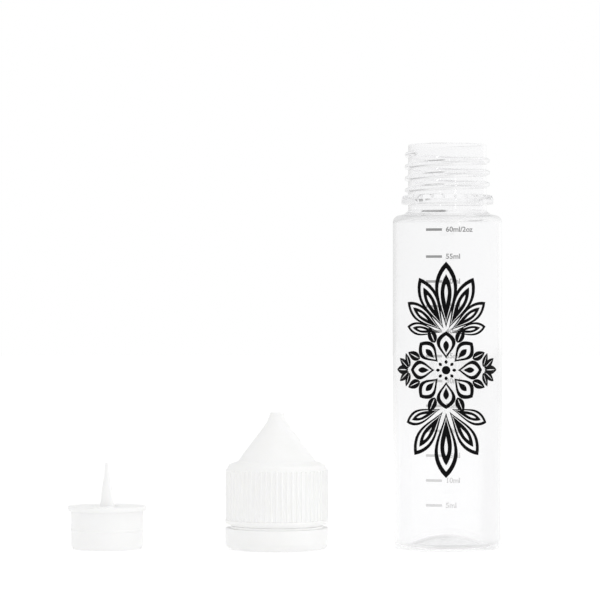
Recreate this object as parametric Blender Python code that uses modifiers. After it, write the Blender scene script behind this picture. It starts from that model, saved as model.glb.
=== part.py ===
"""A clear dropper bottle, its press-in dropper tip and its push-and-turn cap, standing in a row.

Lengths are in metres, with +Z up and the three items on the plane z = 0. The row runs along X, and
the origin lies under the middle of the row. The cap is three moulded pieces: an inner cap with the
screw thread, an outer cap that slides down over it, and a tear-off band under both.
"""

import math

import bmesh
import bpy

MM = 0.001

# The row: distances between the axes of the three items
CAP_FROM_BOTTLE = 48.7 * MM
TIP_FROM_BOTTLE = 97.2 * MM

# Bottle body
BOTTLE_DIAMETER = 31.2 * MM
BOTTLE_HEIGHT = 115.4 * MM
BODY_WALL = 0.8 * MM
HEEL_RADIUS = 3.0 * MM
SHOULDER_CORNER = 2.0 * MM
SHOULDER_FALL = 0.5 * MM
PUNT_RADIUS = 12.0 * MM
PUNT_HEIGHT = 3.75 * MM

# Bottle neck, measured down from the rim
MOUTH_RADIUS = 10.3 * MM
NECK_WALL = 0.9 * MM
RIM_ROUNDING = 0.3 * MM
NECK_FILLET = 0.7 * MM
THREAD_PITCH = 3.4 * MM
THREAD_DEPTH = 0.95 * MM
THREAD_DROP = 2.9 * MM
THREAD_TO_BEAD = 1.4 * MM
BEAD_STEP = 1.9 * MM
BEAD_HEIGHT = 2.6 * MM
BEAD_TO_SHOULDER = 2.7 * MM

# Screw thread, the same form on the neck and inside the cap
THREAD_TURNS = 3
CAP_THREAD_TURNS = 2.5
THREAD_FOOT_SHARE = 0.56
THREAD_CREST_SHARE = 0.2
THREAD_FADE_STEPS = 5
THREAD_START_DEGREES = 180
THREAD_CREST_CLEARANCE = 0.3 * MM
THREAD_CLEARANCE = 0.2 * MM

# Dropper tip
TIP_FIT_CLEARANCE = 0.05 * MM
SEAL_SQUEEZE = 0.1 * MM
SEAL_WIDTH = 0.8 * MM
TIP_FLANGE_THICKNESS = 1.3 * MM
TIP_PLUG_LENGTH = 10.9 * MM
TIP_WALL = 1.1 * MM
TIP_CHAMFER = 1.0 * MM
MOAT_RADIUS = 3.7 * MM
MOAT_DRAFT = 0.7 * MM
MOAT_DEPTH = 2.0 * MM
NOZZLE_BASE_RADIUS = 2.1 * MM
NOZZLE_TOP_RADIUS = 0.6 * MM
NOZZLE_LENGTH = 12.3 * MM
ORIFICE_RADIUS = 0.3 * MM
NOZZLE_WALL = 0.65 * MM
NOZZLE_RADIUS_SHARES = (0.8, 0.53, 0.2)
NOZZLE_HEIGHT_SHARES = (0.13, 0.46, 0.68)

# Clearances between the pieces of the cap
SHOULDER_CLEARANCE = 0.4 * MM
SLIDE_CLEARANCE = 0.25 * MM
RUN_GAP = 0.3 * MM
BEAD_PLAY = 0.3 * MM
PUSH_TRAVEL = 1.0 * MM

# Tear-off band
BAND_LEDGE = 0.7 * MM
BAND_SNAP = 0.5 * MM
BAND_CORNER_HEIGHT = 2.3 * MM
BAND_CORNER_WIDTH = 1.5 * MM
LIP_CHAMFER = 0.3 * MM
BRIDGE_HEIGHT = 0.5 * MM
BRIDGE_WALL = 0.45 * MM
PAWL_HEIGHT = 0.65 * MM
EDGE_ROUNDING = 0.2 * MM

# Inner cap
INNER_WALL = 0.7 * MM
CEILING_THICKNESS = 0.9 * MM
RETAINER_STEP = 0.45 * MM
RETAINER_HEIGHT = 1.0 * MM
TOWER_CLEARANCE = 0.9 * MM
TOWER_WALL = 0.8 * MM
TOWER_FILLET = 0.5 * MM
SPIGOT_DEPTH = 2.1 * MM
SPIGOT_CLEARANCE = 0.7 * MM
SPIGOT_WALL = 0.8 * MM
NOZZLE_END_CLEARANCE = 0.4 * MM
PIN_CLEARANCE = 0.08 * MM
PIN_DEPTH = 0.4 * MM

# Drive teeth between the inner and the outer cap
TOOTH_HEIGHT = 1.0 * MM
TOOTH_LENGTH = 1.8 * MM
TOOTH_FROM_SKIRT = 1.45 * MM

# Outer cap
OUTER_WALL = 0.6 * MM
CONE_WALL = 0.8 * MM
LIP_HEIGHT = 1.3 * MM
CAP_CROWN = 4.7 * MM
PEAK_RADIUS = 1.85 * MM
PEAK_ROUNDING = 0.25 * MM
SHOULDER_RISE = 0.3 * MM
CONE_FOOT_INSET = 0.5 * MM
CAP_SHOULDER_FALL = 0.9 * MM
CAP_SHOULDER_INSET = 0.75 * MM
CAP_EDGE_HEIGHT = 2.4 * MM
CONE_RADIUS_SHARES = (0.82, 0.6, 0.4, 0.21, 0.08)
CONE_HEIGHT_SHARES = (0.165, 0.364, 0.535, 0.705, 0.835)

# Grip ribs round the outer cap
RIB_HEIGHT = 0.35 * MM
RIB_WIDTH = 0.8 * MM
RIB_SINK = 0.05 * MM
RIB_CREST_SHARE = 0.35

# How deep a ridge, rib or tooth runs into the wall that carries it
ROOT_OVERLAP = 0.15 * MM

# Counts
ROUND_STEPS = 36
RIB_COUNT = 60
CORNER_STEPS = 3
PUNT_STEPS = 4
RATCHET_COUNT = 24
PAWL_COUNT = 12
BRIDGE_COUNT = 12
TOOTH_COUNT = 8

# Shares of their own pitch that the teeth fill round the circle
RATCHET_SHARE = 0.6
PAWL_SHARE = 0.16
BRIDGE_SHARE = 0.14
TOOTH_SHARE = 0.4
BEAD_CHAMFER_SHARE = 0.12
BEAD_SLOPE_SHARE = 0.5
BEAD_TOP_SHARE = 0.58
RATCHET_LOW_SHARE = 0.4
RATCHET_TOP_SHARE = 0.93

MERGE_DISTANCE = 0.000001
SHARP_DEGREES = 32

# The neck, worked out from the rim down
BOTTLE_RADIUS = BOTTLE_DIAMETER / 2
ROOT_RADIUS = MOUTH_RADIUS + NECK_WALL
CREST_RADIUS = ROOT_RADIUS + THREAD_DEPTH
BEAD_RADIUS = ROOT_RADIUS + BEAD_STEP
THREAD_TOP_Z = BOTTLE_HEIGHT - THREAD_DROP
THREAD_LOW_Z = THREAD_TOP_Z - THREAD_TURNS * THREAD_PITCH
BEAD_TOP_Z = THREAD_LOW_Z - THREAD_TO_BEAD
BEAD_LOW_Z = BEAD_TOP_Z - BEAD_HEIGHT
SHOULDER_Z = BEAD_LOW_Z - BEAD_TO_SHOULDER

# The closed cap's band ends just above the shoulder, and its ceiling meets the tip's flange
CAP_SEAT_Z = SHOULDER_Z + SHOULDER_CLEARANCE
CEILING_Z = BOTTLE_HEIGHT + TIP_FLANGE_THICKNESS - CAP_SEAT_Z
CEILING_TOP_Z = CEILING_Z + CEILING_THICKNESS
NOZZLE_TOP_Z = TIP_PLUG_LENGTH + TIP_FLANGE_THICKNESS + NOZZLE_LENGTH
NOZZLE_END_Z = CEILING_Z + NOZZLE_LENGTH

# The cap's heights, from the band's foot up
BAND_BEAD_LOW_Z = BEAD_LOW_Z - CAP_SEAT_Z
BAND_BEAD_TOP_Z = BEAD_TOP_Z - CAP_SEAT_Z
BAND_HEIGHT = BAND_BEAD_TOP_Z + BEAD_PLAY + BAND_LEDGE
INNER_LOW_Z = BAND_HEIGHT + BRIDGE_HEIGHT + RUN_GAP
OUTER_LOW_Z = BAND_HEIGHT + PUSH_TRAVEL + RUN_GAP
OUTER_LIP_Z = OUTER_LOW_Z + LIP_HEIGHT
RETAINER_Z = OUTER_LIP_Z + RUN_GAP
SPIGOT_END_Z = NOZZLE_END_Z + NOZZLE_END_CLEARANCE
TOWER_END_Z = SPIGOT_END_Z - SPIGOT_DEPTH
TOOTH_TOP_Z = CEILING_TOP_Z + TOOTH_HEIGHT
CAP_SHOULDER_Z = TOOTH_TOP_Z + PUSH_TRAVEL + RUN_GAP + CONE_WALL + SHOULDER_RISE
CAP_HEIGHT = SPIGOT_END_Z + SPIGOT_WALL + CAP_CROWN

# The cap's radii, from the neck out
SKIRT_BORE = CREST_RADIUS + THREAD_CLEARANCE
SKIRT_RADIUS = SKIRT_BORE + INNER_WALL
CAP_THREAD_RADIUS = ROOT_RADIUS + THREAD_CREST_CLEARANCE
RETAINER_RADIUS = SKIRT_RADIUS + RETAINER_STEP
OUTER_LIP_BORE = SKIRT_RADIUS + SLIDE_CLEARANCE
OUTER_BORE = RETAINER_RADIUS + SLIDE_CLEARANCE
OUTER_RADIUS = OUTER_BORE + OUTER_WALL
CAP_RADIUS = OUTER_RADIUS + RIB_HEIGHT
BAND_LIP_BORE = BEAD_RADIUS - BAND_SNAP
BAND_BORE = BEAD_RADIUS + BEAD_PLAY
TOWER_BORE = NOZZLE_BASE_RADIUS + TOWER_CLEARANCE
TOWER_RADIUS = TOWER_BORE + TOWER_WALL
SPIGOT_BORE = NOZZLE_TOP_RADIUS + SPIGOT_CLEARANCE
SPIGOT_RADIUS = SPIGOT_BORE + SPIGOT_WALL
TOOTH_OUTER_RADIUS = SKIRT_RADIUS - TOOTH_FROM_SKIRT
TOOTH_INNER_RADIUS = TOOTH_OUTER_RADIUS - TOOTH_LENGTH

# The tip's plug, which fills the bottle's mouth
PLUG_RADIUS = MOUTH_RADIUS - TIP_FIT_CLEARANCE
TIP_FLANGE_Z = TIP_PLUG_LENGTH + TIP_FLANGE_THICKNESS
MOAT_FLOOR_Z = TIP_FLANGE_Z - MOAT_DEPTH

# Where the three items stand, with the whole row centred on the origin
BOTTLE_X = (TIP_FROM_BOTTLE + ROOT_RADIUS - BOTTLE_RADIUS) / 2
CAP_X = BOTTLE_X - CAP_FROM_BOTTLE
TIP_X = BOTTLE_X - TIP_FROM_BOTTLE

# Colours
CLEAR_PET = (0.93, 0.94, 0.94, 1)
MILKY_PP = (0.9, 0.9, 0.88, 1)
SOFT_LDPE = (0.91, 0.91, 0.9, 1)


def clear_scene():
    """Remove every object, so the script can be run again in the same file."""
    for thing in list(bpy.data.objects):
        bpy.data.objects.remove(thing, do_unlink=True)
    for group in list(bpy.data.collections):
        bpy.data.collections.remove(group)


def new_collection(name):
    group = bpy.data.collections.new(name)
    bpy.context.scene.collection.children.link(group)
    return group


def plastic(name, colour, roughness, transmission):
    """A moulded plastic with its own colour, gloss and clearness."""
    material = bpy.data.materials.new(name)
    material.use_nodes = True
    shader = material.node_tree.nodes["Principled BSDF"]
    shader.inputs["Base Color"].default_value = colour
    shader.inputs["Roughness"].default_value = roughness
    shader.inputs["Metallic"].default_value = 0
    shader.inputs["Transmission Weight"].default_value = transmission
    material.diffuse_color = colour
    return material


# Outline helpers, in the plane of (radius, height)


def arc(centre, radius, start_degrees, end_degrees, steps=CORNER_STEPS, height_radius=None):
    """Points round a corner; a second radius makes the corner an ellipse."""
    tall = height_radius or radius
    points = []
    for step in range(steps + 1):
        angle = math.radians(start_degrees + (end_degrees - start_degrees) * step / steps)
        points.append((centre[0] + radius * math.cos(angle), centre[1] + tall * math.sin(angle)))
    return points


def inset(outline, wall):
    """An outline that runs down its outer side, moved inwards by one wall, with mitred corners."""
    moved = []
    for index, (radius, height) in enumerate(outline):
        before = outline[max(index - 1, 0)]
        after = outline[min(index + 1, len(outline) - 1)]
        normals = []
        for first, last in ((before, (radius, height)), ((radius, height), after)):
            length = math.dist(first, last)
            if length:
                normals.append(((last[1] - first[1]) / length, (first[0] - last[0]) / length))
        across = sum(normal[0] for normal in normals) / len(normals)
        along = sum(normal[1] for normal in normals) / len(normals)
        stretch = wall / (across * across + along * along)
        moved.append((radius + across * stretch, height + along * stretch))
    return moved


# Solid helpers


def add_object(name, mesh, group, parent=None):
    thing = bpy.data.objects.new(name, mesh)
    thing.parent = parent
    group.objects.link(thing)
    return thing


def turned(name, outline, group, steps=ROUND_STEPS, closed=True):
    """Turn an outline round Z; its outer side runs from top to bottom."""
    mesh = bpy.data.meshes.new(name)
    count = len(outline)
    edges = [(index, index + 1) for index in range(count - 1)]
    if closed:
        edges.append((count - 1, 0))
    mesh.from_pydata([(radius, 0, height) for radius, height in outline], edges, [])
    thing = add_object(name, mesh, group)
    screw = thing.modifiers.new("Turn", "SCREW")
    screw.axis = "Z"
    screw.angle = math.tau
    screw.steps = steps
    screw.render_steps = steps
    screw.use_merge_vertices = True
    screw.merge_threshold = MERGE_DISTANCE
    return thing


def loft(shape, sections):
    """Join rings of (angle, radius, height) points into one closed solid in a bmesh."""
    rings = []
    for section in sections:
        ring = []
        for angle, radius, height in section:
            place = (radius * math.cos(angle), radius * math.sin(angle), height)
            ring.append(shape.verts.new(place))
        rings.append(ring)
    faces = [shape.faces.new(rings[0]), shape.faces.new(rings[-1])]
    for low, high in zip(rings, rings[1:]):
        for index in range(len(low)):
            after = (index + 1) % len(low)
            faces.append(shape.faces.new((low[index], low[after], high[after], high[index])))
    bmesh.ops.recalc_face_normals(shape, faces=faces)


def union(target, name, lofts, group):
    """Fuse ridges, ribs or teeth, given as lists of sections, to the piece that carries them."""
    shape = bmesh.new()
    for sections in lofts:
        loft(shape, sections)
    mesh = bpy.data.meshes.new(name)
    shape.to_mesh(mesh)
    shape.free()
    tool = add_object(name, mesh, group, target)
    tool.hide_render = True
    tool.display_type = "WIRE"
    fuse = target.modifiers.new(name, "BOOLEAN")
    fuse.operation = "UNION"
    fuse.solver = "EXACT"
    fuse.object = tool


def finish(thing, material, place, parent=None):
    """Settle the shape, shade its round faces smooth, colour it and put it in its place."""
    evaluated = thing.evaluated_get(bpy.context.evaluated_depsgraph_get())
    mesh = bpy.data.meshes.new_from_object(evaluated)
    thing.modifiers.clear()
    thing.data = mesh
    mesh.name = thing.name
    mesh.materials.clear()
    mesh.materials.append(material)
    mesh.shade_smooth()
    mesh.set_sharp_from_angle(angle=math.radians(SHARP_DEGREES))
    thing.parent = parent
    thing.location = place
    return thing


# Ridges and teeth


def thread_sections(foot_radius, crest_radius, low_z, turns):
    """A right-hand ridge on a cylinder, rising out of its wall and fading back into it."""
    outward = math.copysign(1, crest_radius - foot_radius)
    foot = THREAD_PITCH * THREAD_FOOT_SHARE / 2
    crest = THREAD_PITCH * THREAD_CREST_SHARE / 2
    buried = foot_radius - outward * ROOT_OVERLAP
    step_angle = math.tau / ROUND_STEPS
    last = round(turns * ROUND_STEPS)
    sections = []
    for step in range(-THREAD_FADE_STEPS, last + THREAD_FADE_STEPS + 1):
        beyond = max(-step, step - last, 0)
        fade = 1 - beyond / THREAD_FADE_STEPS
        tip_radius = buried + (crest_radius - buried) * fade + outward * ROOT_OVERLAP / 2 * (1 - fade)
        angle = math.radians(THREAD_START_DEGREES) + step * step_angle
        middle = low_z + THREAD_PITCH * step / ROUND_STEPS
        sections.append(
            [
                (angle, buried, middle - foot),
                (angle, tip_radius, middle - crest),
                (angle, tip_radius, middle + crest),
                (angle, buried, middle + foot),
            ]
        )
    return sections


def block_sections(angles, inner, outer, low_z, tops):
    """A tooth between two radii; a lower first top makes its leading face a ramp."""
    sections = []
    for angle, top in zip(angles, tops):
        sections.append(
            [(angle, inner, low_z), (angle, outer, low_z), (angle, outer, top), (angle, inner, top)]
        )
    return sections


def ring_angles(count, share, offset_share=0):
    """Start, middle and end angle of each of the teeth spaced evenly round a circle."""
    pitch = math.tau / count
    for index in range(count):
        start = (index + offset_share) * pitch
        yield start, start + pitch * share / 2, start + pitch * share


# Bottle


def bottle_outline():
    """Up the inside from the middle of the floor, over the rim and down the outside."""
    inner_radius = BOTTLE_RADIUS - BODY_WALL
    body_top = SHOULDER_Z - SHOULDER_FALL - SHOULDER_CORNER
    inner_corner = SHOULDER_CORNER - BODY_WALL
    inner_heel = HEEL_RADIUS - BODY_WALL
    heel_centre = BOTTLE_RADIUS - HEEL_RADIUS
    corner_centre = BOTTLE_RADIUS - SHOULDER_CORNER
    bead_chamfer = BEAD_HEIGHT * BEAD_CHAMFER_SHARE
    bead_top = ROOT_RADIUS + BEAD_STEP * BEAD_TOP_SHARE
    points = [(0, PUNT_HEIGHT + BODY_WALL)]
    points += punt_points(BODY_WALL)[::-1]
    points += arc((heel_centre, HEEL_RADIUS), inner_heel, -90, 0, 2)
    points += arc((corner_centre, body_top), inner_corner, 0, 90, 2)
    points.append((MOUTH_RADIUS, SHOULDER_Z - BODY_WALL))
    points += arc((MOUTH_RADIUS + RIM_ROUNDING, BOTTLE_HEIGHT - RIM_ROUNDING), RIM_ROUNDING, 180, 90, 1)
    points += arc((ROOT_RADIUS - RIM_ROUNDING, BOTTLE_HEIGHT - RIM_ROUNDING), RIM_ROUNDING, 90, 0, 1)
    points += [
        (ROOT_RADIUS, BEAD_TOP_Z),
        (bead_top, BEAD_TOP_Z),
        (BEAD_RADIUS, BEAD_LOW_Z + BEAD_HEIGHT * BEAD_SLOPE_SHARE),
        (BEAD_RADIUS, BEAD_LOW_Z + bead_chamfer),
        (BEAD_RADIUS - bead_chamfer, BEAD_LOW_Z),
        (ROOT_RADIUS, BEAD_LOW_Z),
    ]
    points += arc((ROOT_RADIUS + NECK_FILLET, SHOULDER_Z + NECK_FILLET), NECK_FILLET, 180, 270)
    points += arc((corner_centre, body_top), SHOULDER_CORNER, 90, 0)
    points += arc((heel_centre, HEEL_RADIUS), HEEL_RADIUS, 0, -90)
    points += punt_points(0)
    points.append((0, PUNT_HEIGHT))
    return points


def punt_points(lift):
    """The dome pressed up into the bottle's floor, from its foot to just short of its top."""
    points = []
    for step in range(PUNT_STEPS):
        share = 1 - step / PUNT_STEPS
        points.append((PUNT_RADIUS * share, lift + PUNT_HEIGHT * (1 - share * share)))
    return points


def make_bottle(group, tools, material):
    """The bottle with its thread, its tear-off bead and the bead's ratchet."""
    bottle = turned("bottle", bottle_outline(), group, closed=False)
    thread = thread_sections(ROOT_RADIUS, CREST_RADIUS, THREAD_LOW_Z, THREAD_TURNS)
    union(bottle, "neck_thread", [thread], tools)
    bead_edge = BEAD_RADIUS - ROOT_OVERLAP
    bead_inside = ROOT_RADIUS + BEAD_STEP * BEAD_TOP_SHARE / 2
    low = BEAD_LOW_Z + BEAD_HEIGHT * RATCHET_LOW_SHARE
    top = BEAD_LOW_Z + BEAD_HEIGHT * RATCHET_TOP_SHARE
    teeth = []
    for start, middle, end in ring_angles(RATCHET_COUNT, RATCHET_SHARE):
        teeth.append(
            [
                [(start, bead_inside, low), (start, bead_inside + ROOT_OVERLAP, low),
                 (start, bead_inside + ROOT_OVERLAP, top), (start, bead_inside, top)],
                [(end, bead_inside, low), (end, bead_edge, low),
                 (end, bead_edge, top), (end, bead_inside, top)],
            ]
        )
    union(bottle, "bead_ratchet", teeth, tools)
    return finish(bottle, material, (BOTTLE_X, 0, 0))


# Dropper tip


def nozzle_points(base, top):
    """The nozzle's tapering side, from its tip down to the moat round its foot."""
    points = [(top, NOZZLE_TOP_Z)]
    shares = list(zip(NOZZLE_RADIUS_SHARES, NOZZLE_HEIGHT_SHARES))
    for radius_share, height_share in reversed(shares):
        radius = top + (base - top) * radius_share
        points.append((radius, TIP_FLANGE_Z + NOZZLE_LENGTH * height_share))
    points.append((base, TIP_FLANGE_Z))
    return points


def tip_outline():
    """Down the nozzle, across the moat and flange, down the plug and back up the bore."""
    web = TIP_WALL
    seal_z = TIP_PLUG_LENGTH / 2
    seal_radius = MOUTH_RADIUS + SEAL_SQUEEZE
    points = nozzle_points(NOZZLE_BASE_RADIUS, NOZZLE_TOP_RADIUS)
    points += [
        (NOZZLE_BASE_RADIUS, MOAT_FLOOR_Z),
        (MOAT_RADIUS - MOAT_DRAFT, MOAT_FLOOR_Z),
        (MOAT_RADIUS, TIP_FLANGE_Z),
    ]
    points += arc((ROOT_RADIUS - EDGE_ROUNDING, TIP_FLANGE_Z - EDGE_ROUNDING), EDGE_ROUNDING, 90, 0, 1)
    points += [
        (ROOT_RADIUS, TIP_PLUG_LENGTH),
        (PLUG_RADIUS, TIP_PLUG_LENGTH),
        (PLUG_RADIUS, seal_z + SEAL_WIDTH / 2),
        (seal_radius, seal_z),
        (PLUG_RADIUS, seal_z - SEAL_WIDTH / 2),
        (PLUG_RADIUS, TIP_CHAMFER),
        (PLUG_RADIUS - TIP_CHAMFER / 2, 0),
        (PLUG_RADIUS - TIP_WALL, 0),
        (PLUG_RADIUS - TIP_WALL, TIP_FLANGE_Z - web),
        (MOAT_RADIUS + web, TIP_FLANGE_Z - web),
        (MOAT_RADIUS + web - MOAT_DRAFT, MOAT_FLOOR_Z - web),
    ]
    points += [(radius, height) for radius, height in reversed(bore_points(web))]
    return points


def bore_points(web):
    """The channel through the nozzle, from its orifice down to the hollow under the plug."""
    points = nozzle_points(NOZZLE_BASE_RADIUS - NOZZLE_WALL, ORIFICE_RADIUS)
    points[-1] = (points[-1][0], MOAT_FLOOR_Z - web)
    return points


def make_tip(group, material):
    """The press-in dropper tip, standing on the open end of its plug."""
    tip = turned("dropper_tip", tip_outline(), group)
    return finish(tip, material, (TIP_X, 0, 0))


# Tear-off band


def band_outline():
    """Down the outside, round the foot, over the snap lip and up the recess for the bead."""
    lip_top = BAND_BEAD_LOW_Z - BEAD_PLAY
    ledge_low = BAND_HEIGHT - BAND_LEDGE
    ledge_bore = SKIRT_BORE
    corner_centre = (CAP_RADIUS - BAND_CORNER_WIDTH, BAND_CORNER_HEIGHT)
    points = arc((CAP_RADIUS - EDGE_ROUNDING, BAND_HEIGHT - EDGE_ROUNDING), EDGE_ROUNDING, 90, 0, 1)
    points += arc(corner_centre, BAND_CORNER_WIDTH, 0, -90, 3, BAND_CORNER_HEIGHT)
    points += [
        (BAND_LIP_BORE + LIP_CHAMFER / 2, 0),
        (BAND_LIP_BORE, LIP_CHAMFER),
        (BAND_LIP_BORE, lip_top - LIP_CHAMFER),
        (BAND_BORE, lip_top),
        (BAND_BORE, ledge_low),
        (ledge_bore, ledge_low),
        (ledge_bore, BAND_HEIGHT),
    ]
    return points


def make_band(group, tools, material, stand):
    """The band with the stubs of its tear-off bridges and the pawls that grip the bead."""
    band = turned("tamper_band", band_outline(), group)
    bridges = []
    for angles in ring_angles(BRIDGE_COUNT, BRIDGE_SHARE):
        low = BAND_HEIGHT - ROOT_OVERLAP
        top = BAND_HEIGHT + BRIDGE_HEIGHT
        inner = SKIRT_RADIUS - BRIDGE_WALL
        bridges.append(block_sections(angles, inner, SKIRT_RADIUS, low, (top, top, top)))
    union(band, "tear_bridges", bridges, tools)
    pawls = []
    for start, middle, end in ring_angles(PAWL_COUNT, PAWL_SHARE, PAWL_SHARE):
        low = BAND_HEIGHT - BAND_LEDGE - PAWL_HEIGHT
        top = BAND_HEIGHT - BAND_LEDGE + ROOT_OVERLAP
        pawls.append(block_sections((start, end), BAND_LIP_BORE, BAND_BORE + ROOT_OVERLAP, low, (top, top)))
    union(band, "band_pawls", pawls, tools)
    return finish(band, material, (0, 0, 0), stand)


# Inner cap


def inner_cap_outline():
    """Down the outside from the spigot's closed end, round the skirt and up the inside."""
    top = SPIGOT_END_Z + SPIGOT_WALL
    round_tip = SPIGOT_WALL / 2
    step_z = TOWER_END_Z + TOWER_WALL
    edge = CEILING_THICKNESS / 2
    pin_radius = ORIFICE_RADIUS - PIN_CLEARANCE
    pin_end = NOZZLE_END_Z - PIN_DEPTH
    points = [(0, top)]
    points += arc((SPIGOT_RADIUS - round_tip, top - round_tip), round_tip, 90, 0, 1)
    points.append((SPIGOT_RADIUS, step_z))
    points += arc((TOWER_RADIUS - round_tip, step_z - round_tip), round_tip, 90, 0, 1)
    points += arc((TOWER_RADIUS + TOWER_FILLET, CEILING_TOP_Z + TOWER_FILLET), TOWER_FILLET, 180, 270, 1)
    points += arc((SKIRT_RADIUS - edge, CEILING_TOP_Z - edge), edge, 90, 0, 1)
    points += [
        (SKIRT_RADIUS, RETAINER_Z + RETAINER_HEIGHT),
        (RETAINER_RADIUS, RETAINER_Z + RETAINER_HEIGHT / 2),
        (RETAINER_RADIUS, RETAINER_Z),
        (SKIRT_RADIUS, RETAINER_Z),
        (SKIRT_RADIUS, INNER_LOW_Z),
        (SKIRT_BORE, INNER_LOW_Z),
        (SKIRT_BORE, CEILING_Z),
        (TOWER_BORE, CEILING_Z),
        (TOWER_BORE, TOWER_END_Z),
        (SPIGOT_BORE, TOWER_END_Z),
        (SPIGOT_BORE, SPIGOT_END_Z),
        (pin_radius, SPIGOT_END_Z),
        (pin_radius, pin_end),
        (0, pin_end),
    ]
    return points


def tooth_tops(low, high):
    """A steep face where the tooth drives and a ramp where it may slip."""
    return (low, high, high)


def make_inner_cap(group, tools, material, stand):
    """The inner cap with its screw thread, nozzle socket and ring of drive teeth."""
    inner = turned("inner_cap", inner_cap_outline(), group, closed=False)
    low_z = THREAD_LOW_Z - CAP_SEAT_Z + THREAD_PITCH / 2
    thread = thread_sections(SKIRT_BORE, CAP_THREAD_RADIUS, low_z, CAP_THREAD_TURNS)
    union(inner, "cap_thread", [thread], tools)
    teeth = []
    for angles in ring_angles(TOOTH_COUNT, TOOTH_SHARE):
        low = CEILING_TOP_Z - ROOT_OVERLAP
        tops = tooth_tops(CEILING_TOP_Z, TOOTH_TOP_Z)
        teeth.append(block_sections(angles, TOOTH_INNER_RADIUS, TOOTH_OUTER_RADIUS, low, tops))
    union(inner, "inner_teeth", teeth, tools)
    return finish(inner, material, (0, 0, 0), stand)


# Outer cap


def cone_points():
    """The outer cap's outline from its peak to the top edge of its ribbed wall."""
    foot_radius = TOOTH_OUTER_RADIUS - CONE_FOOT_INSET
    rise = CAP_HEIGHT - CAP_SHOULDER_Z
    spread = foot_radius - PEAK_RADIUS
    points = [(PEAK_RADIUS, CAP_HEIGHT - PEAK_ROUNDING)]
    for radius_share, height_share in reversed(list(zip(CONE_RADIUS_SHARES, CONE_HEIGHT_SHARES))):
        points.append((PEAK_RADIUS + spread * radius_share, CAP_SHOULDER_Z + rise * height_share))
    points += [
        (foot_radius, CAP_SHOULDER_Z),
        (OUTER_RADIUS - CAP_SHOULDER_INSET, CAP_SHOULDER_Z - CAP_SHOULDER_FALL),
        (OUTER_RADIUS, CAP_SHOULDER_Z - CAP_EDGE_HEIGHT),
    ]
    return points


def outer_cap_outline():
    """Down the cone and the wall, round the retaining lip and up the inside."""
    cone = cone_points()
    inside = inset(cone, CONE_WALL)
    inside[0] = (inside[0][0], CAP_HEIGHT - CONE_WALL)
    inside[-1] = (OUTER_BORE, inside[-1][1])
    rim_z = OUTER_LOW_Z + LIP_HEIGHT
    points = [(0, CAP_HEIGHT), (PEAK_RADIUS - PEAK_ROUNDING, CAP_HEIGHT)]
    points += cone
    points += [
        (OUTER_RADIUS, rim_z),
        (CAP_RADIUS, rim_z - RIB_HEIGHT / 2),
        (CAP_RADIUS, OUTER_LOW_Z + EDGE_ROUNDING),
        (CAP_RADIUS - EDGE_ROUNDING, OUTER_LOW_Z),
        (OUTER_BORE, OUTER_LOW_Z),
        (OUTER_LIP_BORE, OUTER_LOW_Z + LIP_HEIGHT / 2),
        (OUTER_LIP_BORE, OUTER_LIP_Z),
        (OUTER_BORE, OUTER_LIP_Z),
    ]
    points += reversed(inside)
    points.append((0, CAP_HEIGHT - CONE_WALL))
    return points


def rib_sections(angle):
    """One upright grip rib, buried in the wall, that runs out on the cap's top edge."""
    buried = OUTER_RADIUS - 2 * ROOT_OVERLAP
    crest_radius = CAP_RADIUS - RIB_SINK
    foot = RIB_WIDTH / buried / 2
    crest = foot * RIB_CREST_SHARE
    edge_z = CAP_SHOULDER_Z - CAP_EDGE_HEIGHT
    low_z = OUTER_LOW_Z + LIP_HEIGHT / 2
    ends = ((low_z, crest_radius), (edge_z, crest_radius), (edge_z + RIB_HEIGHT, buried + RIB_SINK))
    sections = []
    for height, outer in ends:
        sections.append(
            [
                (angle - foot, buried, height),
                (angle - crest, outer, height),
                (angle + crest, outer, height),
                (angle + foot, buried, height),
            ]
        )
    return sections


def make_outer_cap(group, tools, material, stand):
    """The ribbed outer cap, whose hanging teeth mesh with the inner cap's when it is pushed."""
    outer = turned("outer_cap", outer_cap_outline(), group, RIB_COUNT, closed=False)
    ribs = [rib_sections(math.tau * index / RIB_COUNT) for index in range(RIB_COUNT)]
    union(outer, "grip_ribs", ribs, tools)
    low = TOOTH_TOP_Z + RUN_GAP
    top = CAP_SHOULDER_Z - CONE_WALL / 2
    teeth = []
    for angles in ring_angles(TOOTH_COUNT, TOOTH_SHARE, TOOTH_SHARE + (1 - 2 * TOOTH_SHARE) / 2):
        teeth.append(block_sections(angles, TOOTH_INNER_RADIUS, TOOTH_OUTER_RADIUS, low, (top, top, top)))
    union(outer, "outer_teeth", teeth, tools)
    return finish(outer, material, (0, 0, 0), stand)


def main():
    clear_scene()
    group = new_collection("dropper_bottle")
    tools = new_collection("fused_shapes")
    pet = plastic("clear_pet", CLEAR_PET, 0.05, 0.9)
    polypropylene = plastic("milky_polypropylene", MILKY_PP, 0.35, 0.4)
    polyethylene = plastic("soft_polyethylene", SOFT_LDPE, 0.4, 0.4)
    make_bottle(group, tools, pet)
    make_tip(group, polyethylene)
    stand = add_object("cap_axis", None, group)
    stand.location = (CAP_X, 0, 0)
    make_band(group, tools, polypropylene, stand)
    make_inner_cap(group, tools, polypropylene, stand)
    make_outer_cap(group, tools, polypropylene, stand)
    bpy.context.view_layer.update()


main()
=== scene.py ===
"""Looks for a clear dropper bottle that stands beside its push-and-turn cap and its dropper tip.

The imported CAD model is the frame. Every piece is built in metres where the frame has it, stands for the
CAD node of that item, and rides on its body. The bottle's print is ink on its front.
"""

import logging
import math
from collections.abc import Iterator
from contextlib import contextmanager
from dataclasses import dataclass
from enum import Enum

import bmesh
import bpy
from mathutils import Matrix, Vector
from mathutils.geometry import tessellate_polygon

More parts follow.
